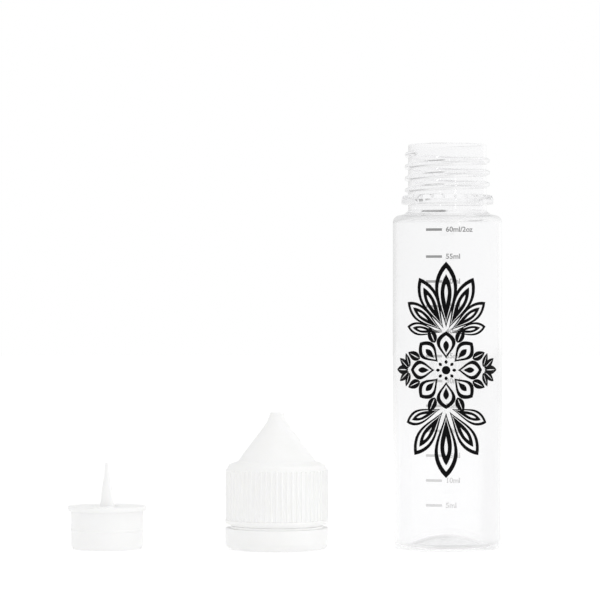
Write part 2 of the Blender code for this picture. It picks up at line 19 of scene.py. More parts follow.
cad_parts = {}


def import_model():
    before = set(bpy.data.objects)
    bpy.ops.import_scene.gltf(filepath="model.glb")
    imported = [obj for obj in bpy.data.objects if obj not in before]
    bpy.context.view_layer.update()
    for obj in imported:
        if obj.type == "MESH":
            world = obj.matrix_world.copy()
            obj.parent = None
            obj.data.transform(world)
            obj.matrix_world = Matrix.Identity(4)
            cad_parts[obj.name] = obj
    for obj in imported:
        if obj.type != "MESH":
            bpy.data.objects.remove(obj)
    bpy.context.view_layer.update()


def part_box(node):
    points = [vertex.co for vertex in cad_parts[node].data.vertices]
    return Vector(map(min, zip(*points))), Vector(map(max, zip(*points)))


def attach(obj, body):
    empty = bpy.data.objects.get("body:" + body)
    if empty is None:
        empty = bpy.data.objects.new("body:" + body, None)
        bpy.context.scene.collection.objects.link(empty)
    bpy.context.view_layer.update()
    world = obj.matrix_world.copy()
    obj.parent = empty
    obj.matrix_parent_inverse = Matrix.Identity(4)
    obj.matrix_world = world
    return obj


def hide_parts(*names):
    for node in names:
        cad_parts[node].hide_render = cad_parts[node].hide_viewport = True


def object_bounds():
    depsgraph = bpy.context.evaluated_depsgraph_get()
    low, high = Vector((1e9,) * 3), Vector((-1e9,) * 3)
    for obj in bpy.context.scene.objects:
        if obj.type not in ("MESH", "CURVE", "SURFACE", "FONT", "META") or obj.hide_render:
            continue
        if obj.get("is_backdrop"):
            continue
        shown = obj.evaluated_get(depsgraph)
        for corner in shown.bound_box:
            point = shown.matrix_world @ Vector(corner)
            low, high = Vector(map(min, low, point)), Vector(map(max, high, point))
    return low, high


MM = 0.001
TINY = 0.000001
NEARLY_STRAIGHT = math.radians(89)
LOG = logging.getLogger("dropper_bottle")

Point = tuple[float, float]
Place = tuple[float, float, float]
Polygon = list[Point]
Motif = list[Polygon]
Cut = tuple[float, float, float, float, float]
Colour = tuple[float, float, float, float]
Tree = bpy.types.NodeTree
Material = bpy.types.Material
Piece = bpy.types.Object
WHITE: Colour = (1.0, 1.0, 1.0, 1.0)


class Item(Enum):
    """The CAD nodes, each of which is a body of its own."""

    BOTTLE = "bottle"
    TIP = "dropper_tip"
    BAND = "tamper_band"
    INNER_CAP = "inner_cap"
    OUTER_CAP = "outer_cap"


class Slot(Enum):
    """The record's material slots."""

    PET = "clear_pet"
    LDPE = "soft_polyethylene"
    PP = "milky_polypropylene"


# Node trees


@dataclass(frozen=True)
class Signal:
    """What a node puts out. Arithmetic on it adds Math nodes to the same tree."""

    graph: "Graph"
    socket: bpy.types.NodeSocket

    def __add__(self, other: "Signal | float") -> "Signal":
        """Add."""
        return self.graph.math("ADD", self, other)

    def __sub__(self, other: "Signal | float") -> "Signal":
        """Take away."""
        return self.graph.math("SUBTRACT", self, other)

    def __rsub__(self, other: "Signal | float") -> "Signal":
        """Take this away from a number."""
        return self.graph.math("SUBTRACT", other, self)

    def __mul__(self, other: "Signal | float") -> "Signal":
        """Multiply."""
        return self.graph.math("MULTIPLY", self, other)

    def __truediv__(self, other: "Signal | float") -> "Signal":
        """Divide."""
        return self.graph.math("DIVIDE", self, other)

    def clamped(self) -> "Signal":
        """Keep between 0 and 1."""
        return self.graph.math("ADD", self, 0.0, clamp=True)

    def eased(self) -> "Signal":
        """Round off the ends of a ramp that is already between 0 and 1."""
        return self * self * (3.0 - self * 2.0)

    def rising(self, start: "Signal | float", width: "Signal | float") -> "Signal":
        """Step softly up from 0 at start to 1 a width beyond it."""
        return ((self - start) / width).clamped().eased()

    def falling(self, end: "Signal | float", width: "Signal | float") -> "Signal":
        """Step softly down from 1 a width before end to 0 at end."""
        return ((end - self) / width).clamped().eased()


class Graph:
    """A node tree that is filled in by calls."""

    def __init__(self, tree: Tree) -> None:
        """Take the tree that gets the nodes."""
        self.tree = tree

    def feed(self, node: bpy.types.Node, inputs: dict) -> None:
        """Link or set a node's inputs.

        Args:
            node: The node.
            inputs: Signals or plain values by the name or index of the socket they go to.
        """
        for key, value in inputs.items():
            if isinstance(value, Signal):
                self.tree.links.new(value.socket, node.inputs[key])
            else:
                node.inputs[key].default_value = value

    def node(self, kind: str, inputs: dict | None = None, **settings: object) -> bpy.types.Node:
        """Add a node.

        Args:
            kind: The node's type name.
            inputs: What goes into its sockets.
            settings: The node's own properties.

        Returns:
            The new node.
        """
        node = self.tree.nodes.new(kind)
        for name, value in settings.items():
            setattr(node, name, value)
        self.feed(node, inputs or {})
        return node

    def put(self, kind: str, inputs: dict | None = None, output: str | int = 0, **settings: object) -> Signal:
        """Add a node and return its output of that name or index."""
        return Signal(self, self.node(kind, inputs, **settings).outputs[output])

    def math(self, operation: str, *values: "Signal | float", clamp: bool = False) -> Signal:
        """Add a Math node, whose result may be kept between 0 and 1."""
        return self.put("ShaderNodeMath", dict(enumerate(values)), operation=operation, use_clamp=clamp)

    def vector(
        self, x: "Signal | float" = 0.0, y: "Signal | float" = 0.0, z: "Signal | float" = 0.0
    ) -> Signal:
        """Make a vector of its three parts."""
        return self.put("ShaderNodeCombineXYZ", {0: x, 1: y, 2: z})

    def parts(self, vector: Signal) -> tuple[Signal, ...]:
        """Split a vector into x, y and z."""
        split = self.node("ShaderNodeSeparateXYZ", {0: vector})
        return tuple(Signal(self, socket) for socket in split.outputs)

    def place(self) -> tuple[Signal, ...]:
        """Read the x, y and z of the shaded point in its object's space."""
        return self.parts(self.put("ShaderNodeTexCoord", output="Object"))

    def rays(self, *names: str) -> tuple[Signal, ...]:
        """Read what is known of the ray, by the names of the Light Path node's outputs."""
        outputs = self.node("ShaderNodeLightPath").outputs
        return tuple(Signal(self, outputs[name]) for name in names)

    def noise(self, place: Signal, scale: Signal, detail: float, rough: float) -> Signal:
        """Add a noise texture of so many waves per metre, with finer layers as detail and rough say."""
        inputs = {"Vector": place, "Scale": scale, "Detail": detail, "Roughness": rough}
        return self.put("ShaderNodeTexNoise", inputs, "Fac")

    def ramp(self, value: Signal, stops: list[tuple[float, Colour]]) -> Signal:
        """Add a colour ramp.

        Args:
            value: What the ramp reads.
            stops: Positions and colours.

        Returns:
            The colour.
        """
        node = self.node("ShaderNodeValToRGB", {"Fac": value})
        elements = node.color_ramp.elements
        while len(elements) < len(stops):
            elements.new(0.5)
        for element, (position, colour) in zip(elements, stops):
            element.position = position
            element.color = colour
        return Signal(self, node.outputs["Color"])


class Surface(Graph):
    """The tree of a new material, with its Principled shader."""

    def __init__(self, name: str) -> None:
        """Make the material.

        Args:
            name: Its name.
        """
        self.material = bpy.data.materials.new(name)
        self.material.use_nodes = True
        super().__init__(self.material.node_tree)
        self.shader = self.tree.nodes["Principled BSDF"]


class Group(Graph):
    """A node group with named sockets."""

    def __init__(self, name: str, kind: str, inputs: dict[str, str], outputs: dict[str, str]) -> None:
        """Make an empty group.

        Args:
            name: The group's name.
            kind: The kind of tree.
            inputs: Socket types by name.
            outputs: Socket types by name.
        """
        super().__init__(bpy.data.node_groups.new(name, kind))
        for direction, sockets in (("INPUT", inputs), ("OUTPUT", outputs)):
            for socket, socket_type in sockets.items():
                self.tree.interface.new_socket(socket, in_out=direction, socket_type=socket_type)
        self.source = self.node("NodeGroupInput")
        self.sink = self.node("NodeGroupOutput")

    def given(self, name: str) -> Signal:
        """Return one of the group's inputs."""
        return Signal(self, self.source.outputs[name])

    def give(self, name: str, value: Signal) -> None:
        """Send a value to one of the group's outputs."""
        self.tree.links.new(value.socket, self.sink.inputs[name])


class ShapeTree(Group):
    """A Geometry Nodes tree that reads one mesh and named sizes, and gives a plain mesh."""

    def __init__(self, name: str, sizes: list[str], counted: bool = False) -> None:
        """Make an empty tree.

        Args:
            name: The tree's name.
            sizes: Names of its lengths, angles and shares.
            counted: Whether it has a Count too.
        """
        inputs = {"Geometry": "NodeSocketGeometry"}
        inputs.update(dict.fromkeys(sizes, "NodeSocketFloat"))
        if counted:
            inputs["Count"] = "NodeSocketInt"
        inputs["Material"] = "NodeSocketMaterial"
        super().__init__(name, "GeometryNodeTree", inputs, {"Geometry": "NodeSocketGeometry"})

    def polar(self) -> tuple[Signal, Signal, Signal]:
        """Read each point's place round the upright axis at Axis X.

        Returns:
            Its angle, distance from the axis and height.
        """
        x, y, height = self.parts(self.put("GeometryNodeInputPosition"))
        x = x - self.given("Axis X")
        angle = self.math("ARCTAN2", y, x)
        distance = self.math("SQRT", x * x + y * y)
        return angle, distance, height

    def moved(self, angle: Signal, distance: Signal, height: Signal) -> Tree:
        """Move each point to a place round the axis, and end the tree.

        Args:
            angle: The point's angle.
            distance: Its distance from the axis.
            height: Its height.

        Returns:
            The finished tree.
        """
        x = self.math("COSINE", angle) * distance + self.given("Axis X")
        place = self.vector(x, self.math("SINE", angle) * distance, height)
        return self.close("GeometryNodeSetPosition", {"Geometry": self.given("Geometry"), "Position": place})

    def repeated(self, place: Signal, **turns: Signal) -> Tree:
        """Put Count copies of the given mesh at places that follow from their index, and end the tree.

        Args:
            place: Where a copy goes.
            turns: Its Rotation and Scale, where it has them.

        Returns:
            The finished tree.
        """
        points = self.put("GeometryNodeMeshLine", {"Count": self.given("Count"), "Offset": (0, 0, 0)})
        moved = self.put("GeometryNodeSetPosition", {"Geometry": points, "Position": place})
        copies = {"Points": moved, "Instance": self.given("Geometry")}
        return self.close("GeometryNodeInstanceOnPoints", copies | turns)

    def close(self, kind: str, inputs: dict) -> Tree:
        """End the tree in a last node, Realize Instances and Set Material.

        Args:
            kind: The last node's type name.
            inputs: What goes into it.

        Returns:
            The finished tree.
        """
        real = self.put("GeometryNodeRealizeInstances", {0: self.put(kind, inputs)})
        dressed = {"Geometry": real, "Material": self.given("Material")}
        self.give("Geometry", self.put("GeometryNodeSetMaterial", dressed))
        return self.tree


class Trees:
    """The Geometry Nodes trees, each built once."""

    on_wall: float = 0.02 * MM
    rib_reach: float = 0.05 * MM
    past_edge: float = 0.001
    past_tooth: float = 1.02

    def __init__(self) -> None:
        """Build every tree."""
        self.thread = self.make_thread()
        self.ribs = self.make_ribs()
        self.ratchet = self.make_ratchet()
        self.ring = self.make_ring()
        self.fan = self.make_fan()
        self.marks = self.make_marks()
        self.wrap = self.make_wrap()

    def make_thread(self) -> Tree:
        """Raise a right-hand screw ridge on a round wall.

        Returns:
            The tree.
        """
        sizes = ["Axis X", "Wall Radius", "Depth", "Pitch", "Low Height", "Turns", "Start Angle"]
        tree = ShapeTree("screw_thread", sizes + ["Foot Width", "Crest Width", "Fade Turns"])
        angle, distance, height = tree.polar()
        pitch, foot, fade = (tree.given(name) for name in ("Pitch", "Foot Width", "Fade Turns"))
        turn = tree.math("FRACT", (angle - tree.given("Start Angle")) / math.tau)
        climb = (height - tree.given("Low Height")) / pitch - turn
        nearest = tree.math("ROUND", climb)
        along = nearest + turn
        away = tree.math("ABSOLUTE", climb - nearest) * pitch
        ridge = away.falling(foot / 2.0, (foot - tree.given("Crest Width")) / 2.0)
        rise = ((along + fade) / fade).clamped().eased()
        fall = along.falling(tree.given("Turns") + fade, fade)
        off_wall = tree.math("ABSOLUTE", distance - tree.given("Wall Radius"))
        on_wall = tree.math("LESS_THAN", off_wall, self.on_wall)
        return tree.moved(angle, distance + tree.given("Depth") * ridge * rise * fall * on_wall, height)

    def make_ribs(self) -> Tree:
        """Raise upright ribs, evenly spaced round a wall, that run out at both ends.

        Returns:
            The tree.
        """
        sizes = ["Axis X", "Wall Radius", "Depth", "Low Height", "High Height", "Run Out"]
        tree = ShapeTree("grip_ribs", sizes + ["Foot Share", "Crest Share"], counted=True)
        angle, distance, height = tree.polar()
        wall, foot, run_out = (tree.given(name) for name in ("Wall Radius", "Foot Share", "Run Out"))
        phase = tree.math("FRACT", angle * tree.given("Count") / math.tau + 0.5) - 0.5
        away = tree.math("ABSOLUTE", phase) * 2.0
        ridge = away.falling(foot, foot - tree.given("Crest Share"))
        rise = height.rising(tree.given("Low Height"), run_out)
        fall = height.falling(tree.given("High Height"), run_out)
        on_wall = tree.math("GREATER_THAN", distance, wall - self.rib_reach)
        wanted = wall + tree.given("Depth") * ridge * rise * fall
        lift = tree.math("MAXIMUM", wanted - distance, 0.0) * on_wall
        return tree.moved(angle, distance + lift, height)

    def make_ratchet(self) -> Tree:
        """Raise saw teeth on the slope of a bead.

        Returns:
            The tree.
        """
        sizes = ["Axis X", "Foot Radius", "Crest Radius", "Low Height", "High Height", "Share"]
        tree = ShapeTree("bead_ratchet", sizes, counted=True)
        angle, distance, height = tree.polar()
        foot = tree.given("Foot Radius")
        teeth = angle * tree.given("Count") / math.tau
        phase = tree.math("FRACT", teeth + self.past_edge) / tree.given("Share")
        on_tooth = tree.math("LESS_THAN", phase, self.past_tooth)
        wanted = (foot + (tree.given("Crest Radius") - foot) * phase) * on_tooth
        above = tree.math("GREATER_THAN", height, tree.given("Low Height"))
        below = tree.math("LESS_THAN", height, tree.given("High Height"))
        outside = tree.math("GREATER_THAN", distance, foot)
        lift = tree.math("MAXIMUM", wanted - distance, 0.0) * above * below * outside
        return tree.moved(angle, distance + lift, height)

    @staticmethod
    def make_ring() -> Tree:
        """Repeat one tooth round an upright axis.

        Returns:
            The tree.
        """
        tree = ShapeTree("ring_of_teeth", ["Axis X", "Start Angle"], counted=True)
        step = tree.put("GeometryNodeInputIndex") * math.tau / tree.given("Count")
        turn = tree.vector(z=step + tree.given("Start Angle"))
        return tree.repeated(tree.vector(tree.given("Axis X")), Rotation=turn)

    @staticmethod
    def make_fan() -> Tree:
        """Repeat a flat motif on a circle or part of one, smaller towards the ends of the fan.

        Returns:
            The tree.
        """
        sizes = ["Centre U", "Centre V", "Radius", "First Angle", "Last Angle", "Shrink"]
        tree = ShapeTree("motif_fan", sizes, counted=True)
        share = tree.put("GeometryNodeInputIndex") / (tree.given("Count") - 1.0)
        first = tree.given("First Angle")
        angle = first + (tree.given("Last Angle") - first) * share
        u = tree.given("Centre U") + tree.math("SINE", angle) * tree.given("Radius")
        v = tree.given("Centre V") + tree.math("COSINE", angle) * tree.given("Radius")
        size = 1.0 - tree.given("Shrink") * tree.math("ABSOLUTE", share * 2.0 - 1.0)
        even = tree.vector(size, size, size)
        return tree.repeated(tree.vector(u, z=v), Rotation=tree.vector(y=angle), Scale=even)

    @staticmethod
    def make_marks() -> Tree:
        """Repeat a flat mark up a scale whose top step may be longer.

        Returns:
            The tree.
        """
        tree = ShapeTree("scale_marks", ["Low Height", "Step", "Top Extra"], counted=True)
        index = tree.put("GeometryNodeInputIndex")
        top = tree.math("GREATER_THAN", index, tree.given("Count") - 1.5)
        height = tree.given("Low Height") + tree.given("Step") * index + tree.given("Top Extra") * top
        return tree.repeated(tree.vector(z=height))

    @staticmethod
    def make_wrap() -> Tree:
        """Lay a flat print, drawn in x and z, on the front of an upright cylinder.

        Returns:
            The tree.
        """
        tree = ShapeTree("wrapped_print", ["Axis X", "Radius"])
        u, _, v = tree.parts(tree.put("GeometryNodeInputPosition"))
        return tree.moved(u / tree.given("Radius") - math.pi / 2, tree.given("Radius"), v)


# Mesh helpers


def rounded(corners: list[Place], closed: bool, steps: int = 5, most: float = 0.48) -> Polygon:
    """Round the corners of an outline.

    Args:
        corners: Distance from the axis, height and rounding of each corner.
        closed: Whether the outline is a loop.
        steps: How many segments a rounding has.
        most: The share of a side that a rounding may take.

    Returns:
        The outline's points.
    """
    points: Polygon = []
    count = len(corners)
    for index, (radius, height, rounding) in enumerate(corners):
        corner = Vector((radius, height))
        at_end = not closed and index in (0, count - 1)
        if rounding <= 0 or at_end:
            points.append((radius, height))
            continue
        before = Vector(corners[index - 1][:2]) - corner
        after = Vector(corners[(index + 1) % count][:2]) - corner
        half = before.angle(after) / 2
        reach = min(rounding / math.tan(half), before.length * most, after.length * most)
        if half > NEARLY_STRAIGHT or reach < TINY:
            points.append((radius, height))
            continue
        before.normalize()
        after.normalize()
        centre = corner + (before + after).normalized() * (reach / math.cos(half))
        start = corner + before * reach - centre
        sweep = (corner + after * reach - centre).angle_signed(start)
        for step in range(steps + 1):
            angle = sweep * step / steps
            x = start.x * math.cos(angle) - start.y * math.sin(angle)
            y = start.x * math.sin(angle) + start.y * math.cos(angle)
            points.append((centre.x + x, centre.y + y))
    return points


def refined(
    points: Polygon, radius: float, low: float, high: float, step: float, near: float = 0.01 * MM
) -> Polygon:
    """Split the long segments of an outline on one upright wall.

    Args:
        points: The outline.
        radius: The wall's distance from the axis.
        low: The lowest height that is split.
        high: The highest height that is split.
        step: The longest segment left.
        near: How close to the wall a point of it has to be.

    Returns:
        The outline with more points.
    """
    result: Polygon = []
    for first, last in zip(points, points[1:]):
        result.append(first)
        on_wall = max(abs(first[0] - radius), abs(last[0] - radius)) < near
        inside = low <= min(first[1], last[1]) and max(first[1], last[1]) <= high
        if on_wall and inside:
            parts = math.ceil(abs(last[1] - first[1]) / step)
            for part in range(1, parts):
                share = part / parts
                result.append((radius, first[1] + (last[1] - first[1]) * share))
    result.append(points[-1])
    return result


def braced(points: Polygon, closed: bool, gap: float = 0.15 * MM, least: float = 1.0 * MM) -> Polygon:
    """Add a point close to each end of a long segment, so that smooth shading leaves the segment straight.

    Args:
        points: The outline.
        closed: Whether the outline is a loop.
        gap: How far from the ends the new points are.
        least: The length from which a segment is long.

    Returns:
        The outline with more points.
    """
    result: Polygon = []
    for first, last in zip(points, points[1:] + points[:1] if closed else points[1:]):
        result.append(first)
        start, end = Vector(first), Vector(last)
        span = end - start
        if span.length > least:
            step = span.normalized() * gap
            result += [tuple(start + step), tuple(end - step)]
    return result if closed else result + [points[-1]]


def even_angles(count: int) -> list[float]:
    """Angles spaced evenly round a circle, in order."""
    return [math.tau * index / count for index in range(count)]


def linked(name: str, data: bpy.types.ID) -> bpy.types.Object:
    """Put a new object with that mesh, curve, lamp or camera at the scene's origin.

    Args:
        name: Its name.
        data: What it holds.

    Returns:
        The object.
    """
    holder = bpy.data.objects.new(name, data)
    bpy.context.scene.collection.objects.link(holder)
    return holder


@contextmanager
def editing(mesh: bpy.types.Mesh) -> Iterator[bmesh.types.BMesh]:
    """Lend a mesh in a form that can be edited, and write it back.

    Args:
        mesh: The mesh.

    Yields:
        Its editable form.
    """
    shape = bmesh.new()
    shape.from_mesh(mesh)
    yield shape
    shape.to_mesh(mesh)
    shape.free()


def turned(name: str, outline: Polygon, angles: list[float], axis_x: float, closed: bool) -> Piece:
    """Turn an outline round an upright axis, with its faces outwards.

    Args:
        name: The piece's name.
        outline: Distances from the axis and heights.
        angles: Where round the axis the outline stands.
        axis_x: Where the axis is.
        closed: Whether the outline is a loop; otherwise it starts and ends on the axis.

    Returns:
        The turned piece.
    """
    places: list[Place] = []
    rows: list[list[int]] = []
    count = len(angles)
    for radius, height in braced(outline, closed):
        first = len(places)
        if radius < TINY:
            rows.append([first] * count)
            places.append((axis_x, 0.0, height))
        else:
            rows.append(list(range(first, first + count)))
            places += [(axis_x + radius * math.cos(a), radius * math.sin(a), height) for a in angles]
    faces = []
    for low, high in zip(rows, rows[1:] + rows[:1] if closed else rows[1:]):
        for index in range(count):
            after = (index + 1) % count
            face = tuple(dict.fromkeys((low[index], low[after], high[after], high[index])))
            if len(face) > 2:
                faces.append(face)
    mesh = bpy.data.meshes.new(name)
    mesh.from_pydata(places, [], faces)
    with editing(mesh) as shape:
        if shape.calc_volume(signed=True) < 0:
            bmesh.ops.reverse_faces(shape, faces=shape.faces)
    return linked(name, mesh)


def flat_piece(name: str, motifs: list[Motif]) -> Piece:
    """Fill flat motifs, drawn in x and z.

    Args:
        name: The piece's name.
        motifs: For each motif its edge, then its holes.

    Returns:
        The flat piece.
    """
    places: list[Place] = []
    faces: list[tuple[int, ...]] = []
    for loops in motifs:
        first = len(places)
        flat = [[Vector((u, v, 0.0)) for u, v in loop] for loop in loops]
        places += [(u, 0.0, v) for loop in loops for u, v in loop]
        faces += [tuple(first + corner for corner in triangle) for triangle in tessellate_polygon(flat)]
    mesh = bpy.data.meshes.new(name)
    mesh.from_pydata(places, [], faces)
    return linked(name, mesh)


def apply_tree(piece: Piece, tree: Tree, material: Material, values: dict[str, float]) -> None:
    """Run a Geometry Nodes tree on a piece.

    Args:
        piece: The piece.
        tree: The tree.
        material: The material that the tree sets.
        values: The tree's sizes by name.
    """
    values = values | {"Material": material}
    modifier = piece.modifiers.new(tree.name, "NODES")
    modifier.node_group = tree
    for socket in tree.interface.items_tree:
        if socket.in_out == "INPUT" and socket.name in values:
            modifier[socket.identifier] = values[socket.name]


def plain_mesh(piece: Piece) -> bpy.types.Mesh:
    """Make a plain mesh of what a piece and its modifiers show."""
    return bpy.data.meshes.new_from_object(piece.evaluated_get(bpy.context.evaluated_depsgraph_get()))


def settle(piece: Piece) -> None:
    """Turn what a piece's modifiers make into its own mesh.

    Args:
        piece: The piece.
    """
    mesh = plain_mesh(piece)
    piece.modifiers.clear()
    piece.data = mesh
    mesh.name = piece.name


def absorb(piece: Piece, *others: Piece) -> None:
    """Join other pieces into one and remove them.

    Args:
        piece: The piece that keeps everything.
        others: The pieces that go into it.
    """
    with editing(piece.data) as shape:
        for other in others:
            shape.from_mesh(other.data)
            bpy.data.objects.remove(other)


def mount(piece: Piece, item: Item, slot: Slot | None = None) -> None:
    """Let a finished piece ride on its body, and stand for its CAD node if it has that item's finish.

    Args:
        piece: The piece.
        item: The item that it belongs to.
        slot: The record's slot of its finish, or None for print.
    """
    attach(piece, item.value)
    if slot:
        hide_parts(item.value)
    LOG.info("%s rides on %s with %d faces", piece.name, item.value, len(piece.data.polygons))


# Finishes


def surface_flaws() -> Tree:
    """Build the shared group of small flaws of a moulded or printed surface.

    Returns:
        The group: Height for a Bump node, and Patches, a mask of duller places.
    """
    inputs = dict.fromkeys(("Grain Scale", "Wave Scale", "Wave Share"), "NodeSocketFloat")
    outputs = dict.fromkeys(("Height", "Patches"), "NodeSocketFloat")
    group = Group("surface_flaws", "ShaderNodeTree", inputs, outputs)
    place = group.put("ShaderNodeTexCoord", output="Object")
    waves_per_metre = group.given("Wave Scale")
    grain = group.noise(place, group.given("Grain Scale"), detail=3.0, rough=0.6)
    waves = group.noise(place, waves_per_metre, detail=1.0, rough=0.4)
    share = group.given("Wave Share")
    group.give("Height", grain * (1.0 - share) + waves * share)
    group.give("Patches", group.noise(place, waves_per_metre * 2.0, detail=4.0, rough=0.6))
    return group.tree


@dataclass(frozen=True, kw_only=True)
class Finish:
    """What the finishes share: grain, waves and duller patches."""

    name: str
    roughness: float
    roughness_spread: float
    grain_scale: float
    wave_scale: float
    wave_share: float
    bump: float
    bump_strength: float = 1.0

    def start(self, flaws: Tree) -> tuple[Surface, Signal]:
        """Make the material with its roughness and bump.

        Args:
            flaws: The shared group of surface flaws.

        Returns:
            The material's tree and its mask of duller places.
        """
        surface = Surface(self.name)
        sizes = {
            "Grain Scale": self.grain_scale,
            "Wave Scale": self.wave_scale,
            "Wave Share": self.wave_share,
        }
        outputs = surface.node("ShaderNodeGroup", sizes, node_tree=flaws).outputs
        patches = Signal(surface, outputs["Patches"])
        height = Signal(surface, outputs["Height"])
        rough = (patches - 0.5) * self.roughness_spread + self.roughness
        relief = {"Height": height, "Strength": self.bump_strength, "Distance": self.bump}
        normal = surface.put("ShaderNodeBump", relief, "Normal")
        surface.feed(surface.shader, {"Roughness": rough.clamped(), "Normal": normal})
        return surface, patches


@dataclass(frozen=True, kw_only=True)
class Plastic(Finish):
    """A moulded plastic, which may let light through to other surfaces between its passing heights."""

    colour: Colour
    shade: Colour
    ior: float
    transmission: float = 0.0
    subsurface: float = 0.0
    subsurface_scale: float = 0.4 * MM
    absorption: float = 0.0
    absorption_colour: Colour = WHITE
    most_mirrored: float = 2.5
    most_crossed: float = 7.5
    shadow_passed: float = 0.0
    passing_low: float = -1.0
    passing_high: float = 1.0

    def build(self, flaws: Tree) -> Material:
        """Build the material.

        Args:
            flaws: The shared group of surface flaws.

        Returns:
            The material.
        """
        surface, patches = self.start(flaws)
        inputs = {
            "Base Color": surface.ramp(patches, [(0.3, self.colour), (0.7, self.shade)]),
            "IOR": self.ior,
            "Transmission Weight": self.transmission,
            "Subsurface Weight": self.subsurface,
            "Subsurface Radius": (1.0, 1.0, 0.9),
            "Subsurface Scale": self.subsurface_scale,
        }
        if self.shadow_passed:
            inputs["Alpha"] = self.held(surface)
        surface.feed(surface.shader, inputs)
        if self.absorption:
            body = {"Density": self.absorption, "Color": self.absorption_colour}
            volume = surface.put("ShaderNodeVolumeAbsorption", body)
            surface.feed(surface.tree.nodes["Material Output"], {"Volume": volume})
        return surface.material

    def held(self, surface: Surface) -> Signal:
        """Tell the rays that the plastic holds from those that go straight on through it.

        A ray that has been mirrored or bent too often goes on, and so does most of the light that falls
        on other surfaces, between the passing heights.

        Args:
            surface: The material's tree.

        Returns:
            1 where the ray is held, 0 where it goes on.
        """
        shadow, diffuse, glossy, depth = surface.rays(
            "Is Shadow Ray", "Is Diffuse Ray", "Glossy Depth", "Ray Depth"
        )
        mirrored = surface.math("GREATER_THAN", glossy, self.most_mirrored)
        crossed = surface.math("GREATER_THAN", depth, self.most_crossed)
        _, _, z = surface.place()
        above = surface.math("GREATER_THAN", z, self.passing_low)
        below = surface.math("LESS_THAN", z, self.passing_high)
        passed = surface.math("MAXIMUM", shadow, diffuse) * above * below * self.shadow_passed
        return (1.0 - surface.math("MAXIMUM", mirrored, crossed)) * (1.0 - passed)


@dataclass(frozen=True, kw_only=True)
class Ink(Finish):
    """A screen-printed ink, whose colour may be lighter towards the foot of the bottle."""

    low_colour: Colour
    high_colour: Colour
    low_height: float
    high_height: float
    roughness: float = 0.5
    roughness_spread: float = 0.3
    grain_scale: float = 5200.0
    wave_scale: float = 260.0
    wave_share: float = 0.35
    bump: float = 0.01 * MM
    bump_strength: float = 0.5
    gloss: float = 0.05
    patchiness: float = 0.12

    def build(self, flaws: Tree) -> Material:
        """Build the material.

        Args:
            flaws: The shared group of surface flaws.

        Returns:
            The material.
        """
        surface, patches = self.start(flaws)
        _, _, z = surface.place()
        level = (z - self.low_height) / (self.high_height - self.low_height)
        level = level + (patches - 0.5) * self.patchiness
        colour = surface.ramp(level.clamped(), [(0.0, self.low_colour), (1.0, self.high_colour)])
        surface.feed(surface.shader, {"Base Color": colour, "Specular IOR Level": self.gloss})
        return surface.material


CLEAR_PET = Plastic(
    name=Slot.PET.value,
    colour=(0.987, 0.987, 0.989, 1),
    shade=(0.977, 0.977, 0.98, 1),
    roughness=0.015,
    roughness_spread=0.03,
    ior=1.57,
    transmission=1.0,
    grain_scale=900.0,
    wave_scale=55.0,
    wave_share=0.97,
    bump=0.06 * MM,
    subsurface_scale=0.0,
    absorption=100.0,
    absorption_colour=(0.865, 0.865, 0.87, 1),
    shadow_passed=0.85,
)
MILKY_PP = Plastic(
    name=Slot.PP.value,
    colour=(0.965, 0.965, 0.96, 1),
    shade=(0.945, 0.945, 0.935, 1),
    roughness=0.38,
    roughness_spread=0.14,
    ior=1.49,
    grain_scale=2600.0,
    wave_scale=120.0,
    wave_share=0.4,
    bump=0.02 * MM,
    subsurface=0.15,
    shadow_passed=0.99,
    passing_low=3.0 * MM,
    passing_high=12.0 * MM,
)
SOFT_LDPE = Plastic(
    name=Slot.LDPE.value,
    colour=(0.965, 0.965, 0.962, 1),
    shade=(0.95, 0.95, 0.945, 1),
    roughness=0.34,
    roughness_spread=0.16,
    ior=1.51,
    grain_scale=2200.0,
    wave_scale=150.0,
    wave_share=0.5,
    bump=0.02 * MM,
    subsurface=0.15,
)
ORNAMENT_INK = Ink(
    name="black_ink",
    low_colour=(0.004, 0.004, 0.0045, 1),
    high_colour=(0.003, 0.003, 0.0034, 1),
    low_height=18 * MM,
    high_height=84 * MM,
)
SCALE_INK = Ink(
    name="grey_ink",
    low_colour=(0.75, 0.75, 0.75, 1),
    high_colour=(0.3, 0.3, 0.302, 1),
    low_height=12 * MM,
    high_height=88 * MM,
)


class Shop:
    """The trees and materials that the sub-assemblies share, each built once."""

    def __init__(self) -> None:
        """Build them all."""
        self.trees = Trees()
        flaws = surface_flaws()
        self.plastics = {
            Slot.PET: CLEAR_PET.build(flaws),
            Slot.PP: MILKY_PP.build(flaws),
            Slot.LDPE: SOFT_LDPE.build(flaws),
        }
        self.ornament_ink = ORNAMENT_INK.build(flaws)
        self.scale_ink = SCALE_INK.build(flaws)


# The object's sub-assemblies


@dataclass(frozen=True)
class Teeth:
    """A ring of like teeth, each of which takes up a share of its step."""

    count: int
    share: float


@dataclass(frozen=True)
class DriveTeeth(Teeth):
    """The teeth by which the pushed outer cap turns the inner one."""

    count: int = 8
    share: float = 0.4
    inner: float = 9.8 * MM
    outer: float = 11.6 * MM


@dataclass(frozen=True)
class Neck:
    """Sizes that the bottle's neck and the cap share."""

    root_radius: float = 11.2 * MM
    thread_depth: float = 0.95 * MM
    pitch: float = 3.4 * MM
    foot_width: float = 1.9 * MM
    crest_width: float = 0.68 * MM
    fade_turns: float = 0.139
    start_angle: float = math.pi


